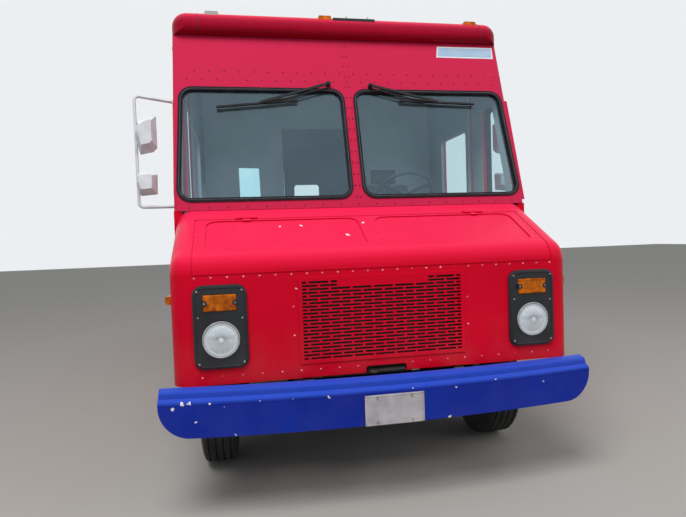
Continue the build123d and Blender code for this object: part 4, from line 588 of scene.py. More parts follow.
sticker_vinyl = finish("sticker_vinyl", ((136, 160, 184), (150, 170, 190)), (0.3, 0.4), patches=9.0)
border_vinyl = finish("border_vinyl", ((196, 202, 208), (184, 192, 200)), (0.3, 0.4), patches=9.0)
for name, inset, out, vinyl in (
    ("sticker_border", 0.0, 0.001, border_vinyl),
    ("sticker_face", 0.01, 0.0016, sticker_vinyl),
):
    form = bmesh.new()
    corners = [
        (0.634 + inset, 2.548 + inset), (1.045 - inset, 2.548 + inset), (1.05 - inset, 2.632 - inset),
        (0.65 + inset, 2.63 - inset),
    ]
    prism(form, [on_screen(x, z, -0.001) for x, z in corners], screen_face * (out + 0.001))
    fit(form, name, vinyl, "truck", "lining", bevel=0.0004, rounds=1)


# Lamps of the front: sealed beam headlamps in bright rings, and amber turn lamps with notched ends.
# The lens is fluted pressed glass over a silvered bowl. Each pair sits in a bolted surround in satin black.
def lathe(form, profile, place, along, segments=48):
    """Adds a ring turned from closed (radius, reach) points about a direction through a place."""
    along = Vector(along).normalized()
    side = along.orthogonal().normalized()
    other = along.cross(side)
    rows = []
    for i in range(segments):
        turn = math.tau * i / segments
        spoke = side * math.cos(turn) + other * math.sin(turn)
        rows.append([form.verts.new(Vector(place) + spoke * r + along * reach) for r, reach in profile])
    for i in range(segments):
        near, far = rows[i], rows[(i + 1) % segments]
        for j in range(len(profile)):
            k = (j + 1) % len(profile)
            form.faces.new((near[j], near[k], far[k], far[j]))


def tube(path, radius, sides=8, closed=False):
    """A mesh tube that follows points, by way of a bevelled curve."""
    curve = bpy.data.curves.new("route", "CURVE")
    curve.dimensions = "3D"
    curve.bevel_depth = radius
    curve.bevel_resolution = max(0, sides // 4 - 1)
    curve.use_fill_caps = not closed
    line = curve.splines.new("POLY")
    line.points.add(len(path) - 1)
    for point, place in zip(line.points, path):
        point.co = (*place, 1.0)
    line.use_cyclic_u = closed
    carrier = bpy.data.objects.new("route", curve)
    bpy.context.scene.collection.objects.link(carrier)
    mesh = bpy.data.meshes.new_from_object(carrier.evaluated_get(bpy.context.evaluated_depsgraph_get()))
    bpy.data.objects.remove(carrier)
    bpy.data.curves.remove(curve)
    return mesh


def tubes(name, routes, radius, material, body, slot, sides=8, closed=False):
    """Several tubes in one mesh."""
    form = bmesh.new()
    for route in routes:
        part = tube(route, radius, sides, closed)
        form.from_mesh(part)
        bpy.data.meshes.remove(part)
    return fit(form, name, material, body, slot, smooth=60)


def rounded_loop(corners, radius, parts=6):
    """Points round an outline whose corners are rounded."""
    corners = [Vector(corner) for corner in corners]
    loop = []
    for i, corner in enumerate(corners):
        before = (corners[i - 1] - corner).normalized()
        after = (corners[(i + 1) % len(corners)] - corner).normalized()
        half_angle = math.acos(max(-1, min(1, before.dot(after)))) / 2
        reach = radius / math.tan(half_angle)
        centre = corner + (before + after).normalized() * (radius / math.sin(half_angle))
        start, end = corner + before * reach - centre, corner + after * reach - centre
        for step in range(parts + 1):
            loop.append(centre + start.lerp(end, step / parts).normalized() * radius)
    return loop


LAMP_X, LAMP_Z, LAMP_FACE = 0.832, 0.877, NOSE - 0.014
black_enamel = finish(
    "black_enamel", ((17, 20, 24), (29, 33, 39)), (0.3, 0.5), patches=8.0, grain=(160.0, 0.12, 0.001),
    dust=0.15,
)
finish_nodes(black_enamel, "lamp_surrounds", "rear_bumper")
bright_metal = finish(
    "bright_metal", ((176, 178, 180), (214, 216, 218)), (0.12, 0.3), 1.0, patches=14.0,
    grain=(300.0, 0.08, 0.0004),
)

lamp_glass, tree, shader = new_shader("fluted_lamp_glass")
where = place_of(tree)
dx = sums(tree, "SUBTRACT", sums(tree, "ABSOLUTE", where["X"]), LAMP_X)
dz = sums(tree, "SUBTRACT", where["Z"], LAMP_Z)
squares = [sums(tree, "MULTIPLY", distance, distance) for distance in (dx, dz)]
radius = sums(tree, "SQRT", sums(tree, "ADD", *squares))
# The lens colour holds a painted reflection of the silvered bowl: light and dark rings round the centre, and
# a painted highlight over the lower half.
painted_reflector_rings = ramp(
    tree, spread(tree, radius, 0.0, 0.092),
    (0.0, linear(244, 248, 252)), (0.1, linear(226, 232, 238)), (0.16, linear(156, 162, 170)),
    (0.4, linear(190, 198, 206)), (0.85, linear(214, 222, 228)), (0.92, linear(146, 152, 160)),
)
lower_half = spread(tree, dz, -0.006, 0.006, 1.0, 0.0)
within = spread(tree, radius, 0.06, 0.078, 1.0, 0.0)
bright = sums(tree, "MULTIPLY", sums(tree, "MULTIPLY", lower_half, within), 0.4)
painted_bowl_glint = mixed(tree, bright, painted_reflector_rings, linear(232, 238, 244))
specks = ramp(tree, noise(tree, 260.0, 2.0), (0.42, (0.7, 0.7, 0.7, 1)), (0.6, (1, 1, 1, 1)))
speckled = tree.nodes.new("ShaderNodeMix")
speckled.data_type = "RGBA"
speckled.blend_type = "MULTIPLY"
speckled.inputs[0].default_value = 0.8
flutes = tree.nodes.new("ShaderNodeTexWave")
flutes.inputs["Scale"].default_value = 34.0
flutes.inputs["Distortion"].default_value = 0.4
link_all(
    tree,
    (painted_bowl_glint, speckled.inputs[6]),
    (specks, speckled.inputs[7]),
    (speckled.outputs[2], shader.inputs["Base Color"]),
    (object_place(tree), flutes.inputs["Vector"]),
    (relief(tree, flutes.outputs["Fac"], 0.5, 0.0015), shader.inputs["Normal"]),
)
shader.inputs["Metallic"].default_value = 0.2
shader.inputs["Roughness"].default_value = 0.16
shader.inputs["Coat Weight"].default_value = 0.8
finish_nodes(lamp_glass, "headlamps")

SURROUND_HALF, SURROUND_FOOT, SURROUND_TOP = 0.119, 0.744, 1.133
SURROUND = ((-1, SURROUND_FOOT), (1, SURROUND_FOOT), (1, SURROUND_TOP), (-1, SURROUND_TOP))
rims = []
for side in (1, -1):
    corners = [(LAMP_X * side + end * SURROUND_HALF, z, 0) for end, z in SURROUND]
    rims.append([(p.x, LAMP_FACE + 0.0015, p.y) for p in rounded_loop(corners, 0.038)])
tubes("surround_rims", rims, 0.0055, black_enamel, "truck", "black_paint", 12, True)
form = bmesh.new()
RING = [(0.083, 0.001), (0.0845, 0.0075), (0.088, 0.0095), (0.0915, 0.0075), (0.0925, 0.001)]
for side in (1, -1):
    lathe(form, RING, (LAMP_X * side, LAMP_FACE, LAMP_Z), FRONT)
fit(form, "headlamp_rings", bright_metal, "truck", "steel", smooth=60)

# One lamp, at the kerb side end of the roof, is clear.
CLEAR_ABOVE, CLEAR_BEYOND = 2.7, -0.7
amber, tree, shader = new_shader("amber_lamp_plastic")
where = place_of(tree)
facets = tree.nodes.new("ShaderNodeTexVoronoi")
facets.inputs["Scale"].default_value = 120.0
shades = ramp(tree, noise(tree, 30.0, 3.0), (0.3, linear(128, 56, 0)), (0.7, linear(196, 104, 6)))
on_roof = sums(tree, "GREATER_THAN", where["Z"], CLEAR_ABOVE)
clear_one = sums(tree, "MULTIPLY", on_roof, sums(tree, "LESS_THAN", where["X"], CLEAR_BEYOND))
link_all(
    tree,
    (object_place(tree), facets.inputs["Vector"]),
    (relief(tree, facets.outputs["Distance"], 0.6, 0.002), shader.inputs["Normal"]),
    (mixed(tree, clear_one, shades, linear(150, 150, 146)), shader.inputs["Base Color"]),
)
shader.inputs["Roughness"].default_value = 0.3
shader.inputs["Specular IOR Level"].default_value = 0.2
finish_nodes(amber, "amber_lamps")

SURROUND_SCREWS = (
    (-0.108, 1.118), (0.108, 1.118), (-0.108, 0.762), (0.108, 0.762), (-0.106, 0.99), (0.106, 0.98),
)
screws = []
for side in (1, -1):
    for dx, z in SURROUND_SCREWS:
        screws.append(((LAMP_X * side + dx, LAMP_FACE, z), FRONT))
heads("surround_screws", screws, (0.0065, 0.005, 0.004), bright_metal, "truck", 10)
TURN_LAMP_SCREWS = [(LAMP_X * side + dx, 1.058) for side in (1, -1) for dx in (-0.074, 0.074)]
CUP = ((0.006, -0.004), (0.006, 0.001), (0.0135, 0.001), (0.0135, -0.004))
form = bmesh.new()
for x, z in TURN_LAMP_SCREWS:
    lathe(form, CUP, (x, NOSE - 0.0225, z), FRONT, 20)
fit(form, "turn_lamp_cups", black_enamel, "truck", "black_paint")
sites = [((x, NOSE - 0.022, z), FRONT) for x, z in TURN_LAMP_SCREWS]
heads("turn_lamp_screws", sites, (0.0055, 0.0045, 0.003), bright_metal, "truck", 10)


# Front bumper: a pressed steel channel in blue enamel with a stepped lip, chipped to white along its crease.
# A blank number plate with a raised border is bolted in the middle. A black towing horn stands behind it.
# The marks are chips, by their place across, their height and their size.
BUMPER_FACE = NOSE - 0.153
BOW = 7.03
CHIP_SHARE = 0.7
BUMPER_MARKS = (
    (-1.025, 0.595, 0.014), (-0.992, 0.595, 0.01), (-1.07, 0.571, 0.011), (-0.966, 0.504, 0.01),
    (-0.899, 0.59, 0.008), (-0.827, 0.57, 0.005), (-0.66, 0.588, 0.005), (-0.33, 0.585, 0.009),
    (0.326, 0.577, 0.009), (0.287, 0.43, 0.009), (0.84, 0.555, 0.007), (0.1, 0.594, 0.007),
    (-0.5, 0.592, 0.006), (0.55, 0.593, 0.008), (-0.78, 0.432, 0.007),
)


def on_bumper(x, z, out=0.0):
    """A point on the bowed face of the bumper."""
    return Vector((x, BUMPER_FACE + BOW - math.sqrt(BOW * BOW - x * x) - out, z))


# The lip, which faces up, turns a lighter blue as a painted sky sheen.
blue_enamel = finish(
    "blue_enamel", ((12, 34, 134), (18, 44, 150)), (0.24, 0.4), patches=2.0, grain=(70.0, 0.1, 0.002),
    dust=0.04, chips=0.015, specular=0.12, sky_sheen=((26, 56, 156), (36, 66, 172)),
    marks=[(on_bumper(x, z), size * CHIP_SHARE) for x, z, size in BUMPER_MARKS],
)
finish_nodes(blue_enamel, "front_bumper")
LIP = (
    (0.0006, 0.582), (0.0014, 0.594), (-0.003, 0.6005), (-0.022, 0.6125), (-0.027, 0.631), (-0.032, 0.64),
    (-0.041, 0.6445), (-0.07, 0.6515), (-0.079, 0.6525), (-0.0795, 0.646), (-0.002, 0.592), (-0.002, 0.582),
)
form = bmesh.new()
rows = []
for x in steps(-1.1385, 1.1385, 0.03):
    outward = Vector((x, -math.sqrt(BOW * BOW - x * x), 0)) / BOW
    rows.append([form.verts.new(on_bumper(x, z) + outward * reach) for reach, z in LIP])
for near, far in zip(rows, rows[1:]):
    for j in range(len(LIP)):
        k = (j + 1) % len(LIP)
        form.faces.new((near[j], near[k], far[k], far[j]))
form.faces.new(rows[0])
form.faces.new(rows[-1][::-1])
fit(form, "bumper_lip", blue_enamel, "truck", "blue_paint")
plate_metal = finish(
    "plate_metal", ((170, 164, 172), (192, 188, 192)), (0.35, 0.5), 0.3, patches=16.0, dust=0.5
)
form = bmesh.new()
PLATE_HALF, PLATE_RISE, PLATE_Z = 0.1525, 0.076, 0.5
brick(
    form, (-PLATE_HALF, BUMPER_FACE - 0.0035, PLATE_Z - PLATE_RISE),
    (PLATE_HALF, BUMPER_FACE - 0.002, PLATE_Z + PLATE_RISE),
)
for x0, z0, x1, z1 in (
    (-0.15, -0.073, 0.15, -0.069), (-0.15, 0.069, 0.15, 0.073),
    (-0.15, -0.073, -0.146, 0.073), (0.146, -0.073, 0.15, 0.073),
):
    brick(form, (x0, BUMPER_FACE - 0.005, PLATE_Z + z0), (x1, BUMPER_FACE - 0.003, PLATE_Z + z1))
fit(form, "number_plate", plate_metal, "truck", "steel", bevel=0.0006, rounds=1)
sites = [((x, BUMPER_FACE - 0.003, z), FRONT) for x in (-0.089, 0.089) for z in (0.4395, 0.5605)]
heads("plate_bolts", sites, (0.008, 0.006, 0.005), bright_metal, "truck", 6)

form = bmesh.new()
EYE_RADIUS, EYE_BAR = 0.018, 0.009
eye_turns = steps(0, math.tau * 7 / 8, math.tau / 8)
eye_bar = [(EYE_RADIUS + EYE_BAR * math.cos(a), EYE_BAR * math.sin(a)) for a in eye_turns]
lathe(form, eye_bar, (-0.07, NOSE - 0.02, 0.66), UP, 20)
brick(form, (-0.06, NOSE - 0.03, 0.655), (0.1, NOSE + 0.04, 0.668))
fit(form, "towing_horn", black_enamel, "truck", "black_paint", bevel=0.002)


# Nose trim: red steel flanges that back the gap round the hood, and strips either side of the notch.
# They are folded from the same sheet as the nose and painted with it.
form = bmesh.new()
HOOD_HALF, GAP = 0.955, 0.006
arc_end = math.pi / 2 - HOOD_LEAN
EDGE_RADIUS, FLANGE_END = 0.12, 0.388
arc = [(EDGE_RADIUS * (1 - math.cos(a)), 1.199 + EDGE_RADIUS * math.sin(a)) for a in steps(0, arc_end, 0.1)]
outline = [(0.0, 1.196), *arc, (FLANGE_END, HOOD_FOOT + math.tan(HOOD_LEAN) * FLANGE_END)]
for side in (1, -1):
    for (s0, z0), (s1, z1) in zip(outline, outline[1:]):
        run = Vector((0, s1 - s0, z1 - z0)).normalized()
        inward = Vector((0, run.z, -run.y)) * 0.004
        a, b = Vector((0, behind(s0), z0)) + inward, Vector((0, behind(s1), z1)) + inward
        x0, x1 = side * (HOOD_HALF + 0.0004), side * (HOOD_HALF + GAP - 0.0004)
        prism(form, [(x0, a.y, a.z), (x1, a.y, a.z), (x1, b.y, b.z), (x0, b.y, b.z)], inward * 0.5)
brick(form, (-HOOD_HALF - GAP, NOSE + 0.004, 1.1904), (HOOD_HALF + GAP, NOSE + 0.006, 1.1956))
for x0, x1 in ((-0.44, -0.115), (0.125, 0.44)):
    brick(form, (x0, NOSE - 0.0012, 0.653), (x1, NOSE + 0.001, 0.708))
fit(form, "nose_trim", red_enamel, "truck", "red_paint")


# Insect screen: a fine black wire mesh that keeps insects out of the radiator. It is near-black, so it also
# stands in for the shade behind the grille as painted shade.
# It is held flat on the back of the nose, behind the slots of the grille.
slot_shade_mesh = finish(
    "insect_screen_and_slot_shade", ((18, 15, 15), (34, 27, 26)), (0.6, 0.8), patches=9.0, grain=(420.0, 0.6, 0.001)
)
form = bmesh.new()
brick(form, (-0.46, behind(0.0305), 0.71), (0.46, behind(0.0325), 1.168))
fit(form, "insect_screen_and_slot_shade", slot_shade_mesh, "truck", "chassis_black")


# Windscreens and windows: laminated glass with a blue tint, held in black rubber.
# A paler locking strip is pressed into the rubber round each windscreen.
glass, tree, output = new_material("window_glass")
clear = tree.nodes.new("ShaderNodeBsdfTransparent")
clear.inputs[0].default_value = (0.86, 0.98, 0.99, 1)
open_side = tree.nodes.new("ShaderNodeBsdfTransparent")
# The shine and the film are tinted blue as a painted reflection of a blue sky; the film is also a faint haze
# of dust on the glass.
sky_shine = tree.nodes.new("ShaderNodeBsdfAnisotropic")
sky_shine.inputs["Color"].default_value = (0.55, 0.82, 1.0, 1)
sky_shine.inputs["Roughness"].default_value = 0.03
film = tree.nodes.new("ShaderNodeBsdfDiffuse")
film.inputs[0].default_value = (0.42, 0.56, 0.66, 1)
fresnel = tree.nodes.new("ShaderNodeFresnel")
fresnel.inputs[0].default_value = 1.5
gloss_mix, film_mix, side_mix = [tree.nodes.new("ShaderNodeMixShader") for _ in range(3)]
link_all(
    tree,
    (sums(tree, "ADD", fresnel.outputs[0], 0.07), gloss_mix.inputs[0]),
    (clear.outputs[0], gloss_mix.inputs[1]),
    (sky_shine.outputs[0], gloss_mix.inputs[2]),
    (spread(tree, noise(tree, 3.0, 8.0), 0.3, 0.8, 0.02, 0.06), film_mix.inputs[0]),
    (gloss_mix.outputs[0], film_mix.inputs[1]),
    (film.outputs[0], film_mix.inputs[2]),
    (tree.nodes.new("ShaderNodeNewGeometry").outputs["Backfacing"], side_mix.inputs[0]),
    (film_mix.outputs[0], side_mix.inputs[1]),
    (open_side.outputs[0], side_mix.inputs[2]),
    (side_mix.outputs[0], output.inputs[0]),
)
finish_nodes(
    glass, "fixed_glass", "door_glass_left", "door_glass_right", "rear_glass_left", "rear_glass_right"
)
seal_rubber = finish(
    "seal_rubber", ((16, 15, 20), (30, 28, 34)), (0.45, 0.7), patches=10.0, grain=(200.0, 0.25, 0.0008),
    specular=0.25,
)
finish_nodes(seal_rubber, "glass_seals")
routes = []
for side in (1, -1):
    corners = [(x * side, z, 0) for x, z in ((0.04, 1.601), (1.058, 1.601), (1.037, 2.293), (0.04, 2.293))]
    routes.append([on_screen(p.x, p.y, 0.0065) for p in rounded_loop(corners, 0.072)])
strip_rubber = finish("strip_rubber", ((66, 64, 72), (84, 82, 90)), (0.3, 0.5), patches=14.0)
tubes("locking_strips", routes, 0.0022, strip_rubber, "truck", "black_rubber", 8, True)


# Wipers: black painted steel arms that swing from above the windscreens, each held by a nut.
# Each arm has a second parallel rod and a hooked blade with a rubber edge on the glass.
wiper_black = finish("wiper_black", ((14, 14, 16), (24, 24, 27)), patches=20.0)
finish_nodes(wiper_black, "wipers")
routes = [
    [on_screen(-0.135, 2.302, 0.024), on_screen(-0.4, 2.223, 0.024), on_screen(-0.56, 2.198, 0.022)],
    [on_screen(0.152, 2.3, 0.024), on_screen(0.4, 2.232, 0.024), on_screen(0.57, 2.214, 0.022)],
]
tubes("wiper_rods", routes, 0.0055, wiper_black, "truck", "black_paint")
form = bmesh.new()
for start, end in (((-0.828, 2.167), (-0.33, 2.218)), ((0.336, 2.223), (0.843, 2.205))):
    corners = [
        on_screen(*start, 0.011), on_screen(*end, 0.011), on_screen(*end, -0.002), on_screen(*start, -0.002)
    ]
    prism(form, corners, (0, 0, 0.005))
fit(form, "wiper_rubbers", seal_rubber, "truck", "black_rubber")
sites = [(on_screen(-0.127, 2.33, 0.028), screen_face), (on_screen(0.148, 2.322, 0.028), screen_face)]
heads("wiper_nuts", sites, (0.011, 0.009, 0.008), wiper_black, "truck", 6)


# Mirrors: pressed aluminium housings on a bent tube frame, with bolts at its feet.
# The glasses at their backs are outlined in millimetres, out from the inner edge and up from the top.
mirror_metal = finish(
    "mirror_aluminium", ((184, 188, 194), (206, 209, 214)), (0.4, 0.6), patches=14.0,
    grain=(160.0, 0.12, 0.0006),
)
finish_nodes(mirror_metal, "mirrors")
mirror_glass, tree, shader = new_shader("mirror_glass")
shader.inputs["Base Color"].default_value = (0.85, 0.87, 0.88, 1)
shader.inputs["Metallic"].default_value = 1.0
smears = spread(tree, noise(tree, 18.0, 6.0), 0.3, 0.8, 0.02, 0.14)
tree.links.new(smears, shader.inputs["Roughness"])
UPPER_GLASS = ((24, -6), (104, -49), (115, -108), (113, -138), (91, -226), (26, -213), (6, -190), (6, -16))
LOWER_GLASS = ((28, -5), (103, -7), (114, -18), (120, -62), (107, -120), (95, -130), (14, -123), (11, -15))
GLASS_INNER = HALF_WIDTH + 0.087
form = bmesh.new()
feet = []
for side, setback, roots, tops, arms in (
    (1, 1.1, (1.1, 1.1), (2.167, 1.8), (2.264, 1.62)),
    (-1, 0.62, (0.768, 0.62), (2.11, 1.774), (2.219, 1.573)),
):
    for outline, top in zip((UPPER_GLASS, LOWER_GLASS), tops):
        corners = [
            (side * (GLASS_INNER + u / 1000), behind(setback) - 0.0085, top + v / 1000) for u, v in outline
        ]
        prism(form, corners, (0, 0.003, 0))
    for root, arm in zip(roots, arms):
        for dy in (-0.012, 0.012):
            feet.append(((side * (HALF_WIDTH + 0.008), behind(root) + dy, arm), LEFT * side))
fit(form, "mirror_glasses", mirror_glass, "truck", "mirror_steel", bevel=0.001, rounds=1)
heads("mirror_bolts", feet, (0.005, 0.004, 0.003), bright_metal, "truck", 6)


# Roof: black painted steel bases under the lamps, screwed to the front of the roof.
# The long base in the middle shows two bare studs. Thin joints set off the cast corners.
ROOF_FRONT = NOSE + SCREEN_SETBACK + SCREEN_SLOPE * 1.062 - 0.034
ROOF_LAMP_Y = ROOF_FRONT + 0.0342
form = bmesh.new()
brick(form, (-0.066, ROOF_LAMP_Y - 0.012, 2.768), (0.215, ROOF_LAMP_Y + 0.035, 2.789))
for x in (-0.838, 0.89):
    brick(form, (x - 0.056, ROOF_LAMP_Y - 0.003, 2.766), (x + 0.056, ROOF_LAMP_Y + 0.046, 2.776))
fit(form, "roof_lamp_bases", black_enamel, "truck", "black_paint", bevel=0.003)
ROLL_UNDER, ROLL_OVER = 0.0455, 0.0905
roll = [
    (ROOF_FRONT + 0.045 - ROLL_UNDER * math.cos(a), 2.701 - ROLL_UNDER * math.sin(a))
    for a in steps(1.2, 0, 0.2)
]
roll += [
    (ROOF_FRONT + 0.09 - ROLL_OVER * math.cos(a), 2.71 + ROLL_OVER * math.sin(a))
    for a in steps(0, 1.5, 0.2)
]
routes = [[(x, y, z) for y, z in roll] for x in (-0.925, 0.95)]
tubes("roof_joints", routes, 0.0018, black_enamel, "truck", "black_paint")
sites = [((x, ROOF_LAMP_Y + 0.012, 2.794), UP) for x in (0.028, 0.171)]
heads("roof_lamp_studs", sites, (0.007, 0.006, 0.014), bright_metal, "truck")


# Cab fittings: a dashboard moulded in grained plastic, with round gauges, and a steering wheel to match.
# The engine cover is clad in grey vinyl, and the bulkhead behind it is painted sheet.
grained_plastic = finish(
    "grained_plastic", ((38, 39, 42), (54, 55, 58)), (0.5, 0.7), patches=6.0, grain=(420.0, 0.35, 0.0008)
)
finish_nodes(grained_plastic, "dashboard", "steering_wheel")
cover_vinyl = finish(
    "cover_vinyl", ((78, 80, 84), (98, 100, 104)), (0.5, 0.75), patches=5.0, grain=(260.0, 0.4, 0.001)
)
finish_nodes(cover_vinyl, "engine_cover")
lining = finish(
    "painted_lining", ((168, 174, 180), (190, 195, 200)), (0.4, 0.6), patches=3.0, grain=(60.0, 0.1, 0.001)
)
finish_nodes(lining, "bulkhead")
dial_face = finish("dial_face", ((14, 14, 16), (24, 24, 26)), (0.2, 0.3), patches=30.0, coat=0.6)
DASH_TOP_Y = behind(0.79)
GAUGES = (
    (0.365, 1.545, 0.052), (0.49, 1.545, 0.052), (0.43, 1.5, 0.02), (0.3, 1.51, 0.022), (0.56, 1.51, 0.022),
)
gauges, bezels, marks = bmesh.new(), bmesh.new(), []
for x, z, r in GAUGES:
    centre = Vector((x, DASH_TOP_Y + 0.0005, z))
    lathe(gauges, [(0.0005, 0.003), (r, 0.003), (r, -0.002), (0.0005, -0.002)], centre, BACK, 32)
    lathe(bezels, [(r, -0.001), (r, 0.006), (r + 0.005, 0.007), (r + 0.007, -0.001)], centre, BACK, 32)
    if r > 0.03:
        for turn in steps(math.radians(-40), math.radians(220), math.radians(26)):
            spoke = Vector((math.cos(turn), 0, math.sin(turn)))
            marks.append((centre + spoke * (r - 0.009) + Vector((0, 0.003, 0)), BACK))
fit(gauges, "gauge_faces", dial_face, "truck", "dark_plastic")
fit(bezels, "gauge_rings", bright_metal, "truck", "steel")
heads("gauge_marks", marks, (0.0022, 0.0018, 0.0008), border_vinyl, "truck", 6)
form = bmesh.new()
for x in steps(-0.2, 0.15, 0.07):
    brick(form, (x, behind(0.735), 1.4), (x + 0.022, behind(0.752), 1.43))
for x in (-0.75, -0.62, 0.75, 0.88):
    for z in steps(1.38, 1.44, 0.015):
        brick(form, (x, behind(0.735), z), (x + 0.1, behind(0.75), z + 0.006))
fit(form, "switches_and_vents", grained_plastic, "truck", "dark_plastic", bevel=0.0015)


# Blank sheet: a pale sheet of paper with nothing on it.
# It is propped inside the kerb side windscreen, close to the glass.
paper = finish(
    "pale_paper", ((176, 208, 214), (188, 218, 222)), (0.7, 0.8), patches=12.0, grain=(90.0, 0.2, 0.0006)
)
form = bmesh.new()
PAPER = ((-0.708, 1.622), (-0.588, 1.618), (-0.59, 1.806), (-0.71, 1.811))
prism(form, [on_screen(x, z, -0.05) for x, z in PAPER], screen_face * 0.0006)
fit(form, "blank_paper", paper, "truck", "lining")


# Driver's seat: foam cushions in black grained vinyl with piped seams, the headrest on two posts.
# They are fixed on a painted steel box.
seat_vinyl = finish(
    "seat_vinyl", ((36, 36, 40), (52, 52, 57)), (0.38, 0.6), patches=5.0, grain=(340.0, 0.5, 0.0012)
)
CUTS = 10


def cushion(name, low, high, crown):
    """A crowned pad with two sewn channels, whose sides pull in between its corners."""
    centre = [(a + b) / 2 for a, b in zip(low, high)]
    half_size = [(b - a) / 2 for a, b in zip(low, high)]
    form = bmesh.new()
    bmesh.ops.create_cube(form, size=2.0)
    bmesh.ops.subdivide_edges(form, edges=form.edges[:], cuts=CUTS, use_grid_fill=True)
    thin = half_size.index(min(half_size))
    wide = [axis for axis in range(3) if axis != thin]
    for vert in form.verts:
        u, v = vert.co[wide[0]], vert.co[wide[1]]
        puff = (1 - abs(u) ** 3) * (1 - abs(v) ** 3)
        channel = 1 - 0.06 * math.exp(-((abs(u) - 0.5) * 14) ** 2)
        vert.co[thin] *= (1 - crown + crown * puff) * channel
        vert.co[wide[0]] = u * (1 - 0.045 * (1 - v * v))
        vert.co[wide[1]] = v * (1 - 0.045 * (1 - u * u))
    for vert in form.verts:
        vert.co = Vector([c + h * k * 0.96 for c, h, k in zip(centre, half_size, vert.co)])
    pad = fit(form, name, seat_vinyl, "truck", "seat_vinyl", smooth=180)
    round_off = pad.modifiers.new("round", "SUBSURF")
    round_off.levels = round_off.render_levels = 1


SEAT_Y = behind(1.18)
cushion("seat_cushion", (0.232, SEAT_Y, 1.203), (0.688, SEAT_Y + 0.45, 1.31), 0.28)
cushion("seat_back", (0.252, SEAT_Y + 0.38, 1.31), (0.668, SEAT_Y + 0.5, 1.775), 0.3)
cushion("seat_headrest", (0.352, SEAT_Y + 0.41, 1.78), (0.568, SEAT_Y + 0.49, 1.898), 0.3)
form = bmesh.new()
brick(form, (0.3, SEAT_Y + 0.06, 0.83), (0.62, SEAT_Y + 0.42, 1.205))
for x in (0.41, 0.5):
    brick(form, (x, SEAT_Y + 0.44, 1.76), (x + 0.012, SEAT_Y + 0.452, 1.8))
seat_box = fit(form, "seat_box", black_enamel, "truck", "black_paint", bevel=0.008)
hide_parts("driver_seat")
seat_near, seat_far, back_y = SEAT_Y + 0.004, SEAT_Y + 0.446, SEAT_Y + 0.44
seat_edge = [
    (0.236, seat_near, 1.257), (0.684, seat_near, 1.257), (0.684, seat_far, 1.257), (0.236, seat_far, 1.257)
]
back_edge = [(0.256, back_y, 1.314), (0.664, back_y, 1.314), (0.664, back_y, 1.771), (0.256, back_y, 1.771)]
tubes(
    "seat_piping", [rounded_loop(seat_edge, 0.05), rounded_loop(back_edge, 0.06)], 0.004, seat_vinyl,
    "truck", "seat_vinyl", 8, True,
)


# Floor and kitchen: chequered aluminium plate underfoot and in the steps, screwed down.
# The units and the shelf are folded from brushed stainless steel, with rod handles and plastic knobs.
chequer, tree, shader = new_shader("chequer_plate")
bars = []
for turn in (math.pi / 4, -math.pi / 4):
    mapping = tree.nodes.new("ShaderNodeMapping")
    mapping.inputs["Rotation"].default_value = (0, 0, turn)
    wave = tree.nodes.new("ShaderNodeTexWave")
    wave.inputs["Scale"].default_value = 12.0
    link_all(
        tree,
        (object_place(tree), mapping.inputs["Vector"]),
        (mapping.outputs[0], wave.inputs["Vector"]),
    )
    bars.append(wave.outputs["Fac"])
raised = spread(tree, sums(tree, "MULTIPLY", *bars), 0.45, 0.7)
shades = ramp(tree, noise(tree, 9.0, 6.0), (0.35, linear(112, 110, 106)), (0.7, linear(160, 160, 158)))
link_all(
    tree,
    (relief(tree, raised, 0.7, 0.003), shader.inputs["Normal"]),
    (shades, shader.inputs["Base Color"]),
    (spread(tree, noise(tree, 30.0), 0.3, 0.7, 0.3, 0.55), shader.inputs["Roughness"]),
)
shader.inputs["Metallic"].default_value = 0.85
finish_nodes(chequer, "floor", "step_wells")
stainless = finish(
    "brushed_stainless", ((150, 152, 154), (178, 180, 182)), (0.22, 0.42), 1.0, patches=4.0,
    grain=(30.0, 0.25, 0.0005), stretch=(1.0, 1.0, 24.0),
)
finish_nodes(stainless, "kitchen_units", "serving_shelf")

HATCH = (behind(2.65), behind(4.35))
FRONTS = (
    (HATCH[0] - 0.02, HATCH[0] + 0.55), (HATCH[0] + 0.57, HATCH[0] + 1.14),
    (HATCH[0] + 1.16, HATCH[1] + 0.02),
)
fronts, handles, knobs = bmesh.new(), [], []


def add_handle(face, out, y0, y1, z):
    """Adds a rod handle that stands out from a face between two places along the truck."""
    handles.append([(face, y0, z), (out, y0 + 0.01, z), (out, y1 - 0.01, z), (face, y1, z)])


for y0, y1 in FRONTS:
    for low, high in ((0.9, 1.29), (1.31, 1.52)):
        brick(fronts, (-0.5595, y0, low), (-0.548, y1, high))
    for z in (1.25, 1.47):
        add_handle(-0.552, -0.52, y0 + 0.12, y1 - 0.12, z)
for y0 in steps(HATCH[0] + 0.08, HATCH[0] + 1.62, 0.77):
    for low, high in ((0.92, 1.42), (1.46, 1.66)):
        brick(fronts, (0.486, y0, low), (0.5005, y0 + 0.72, high))
    add_handle(0.49, 0.45, y0 + 0.1, y0 + 0.62, 1.37)
    knobs += [((0.486, y0 + d, 1.56), RIGHT) for d in (0.15, 0.36, 0.57)]
fit(fronts, "kitchen_fronts", stainless, "truck", "steel", bevel=0.002)
tubes("kitchen_handles", handles, 0.006, bright_metal, "truck", "steel")
heads("burner_knobs", knobs, (0.024, 0.019, 0.028), grained_plastic, "truck", 16)


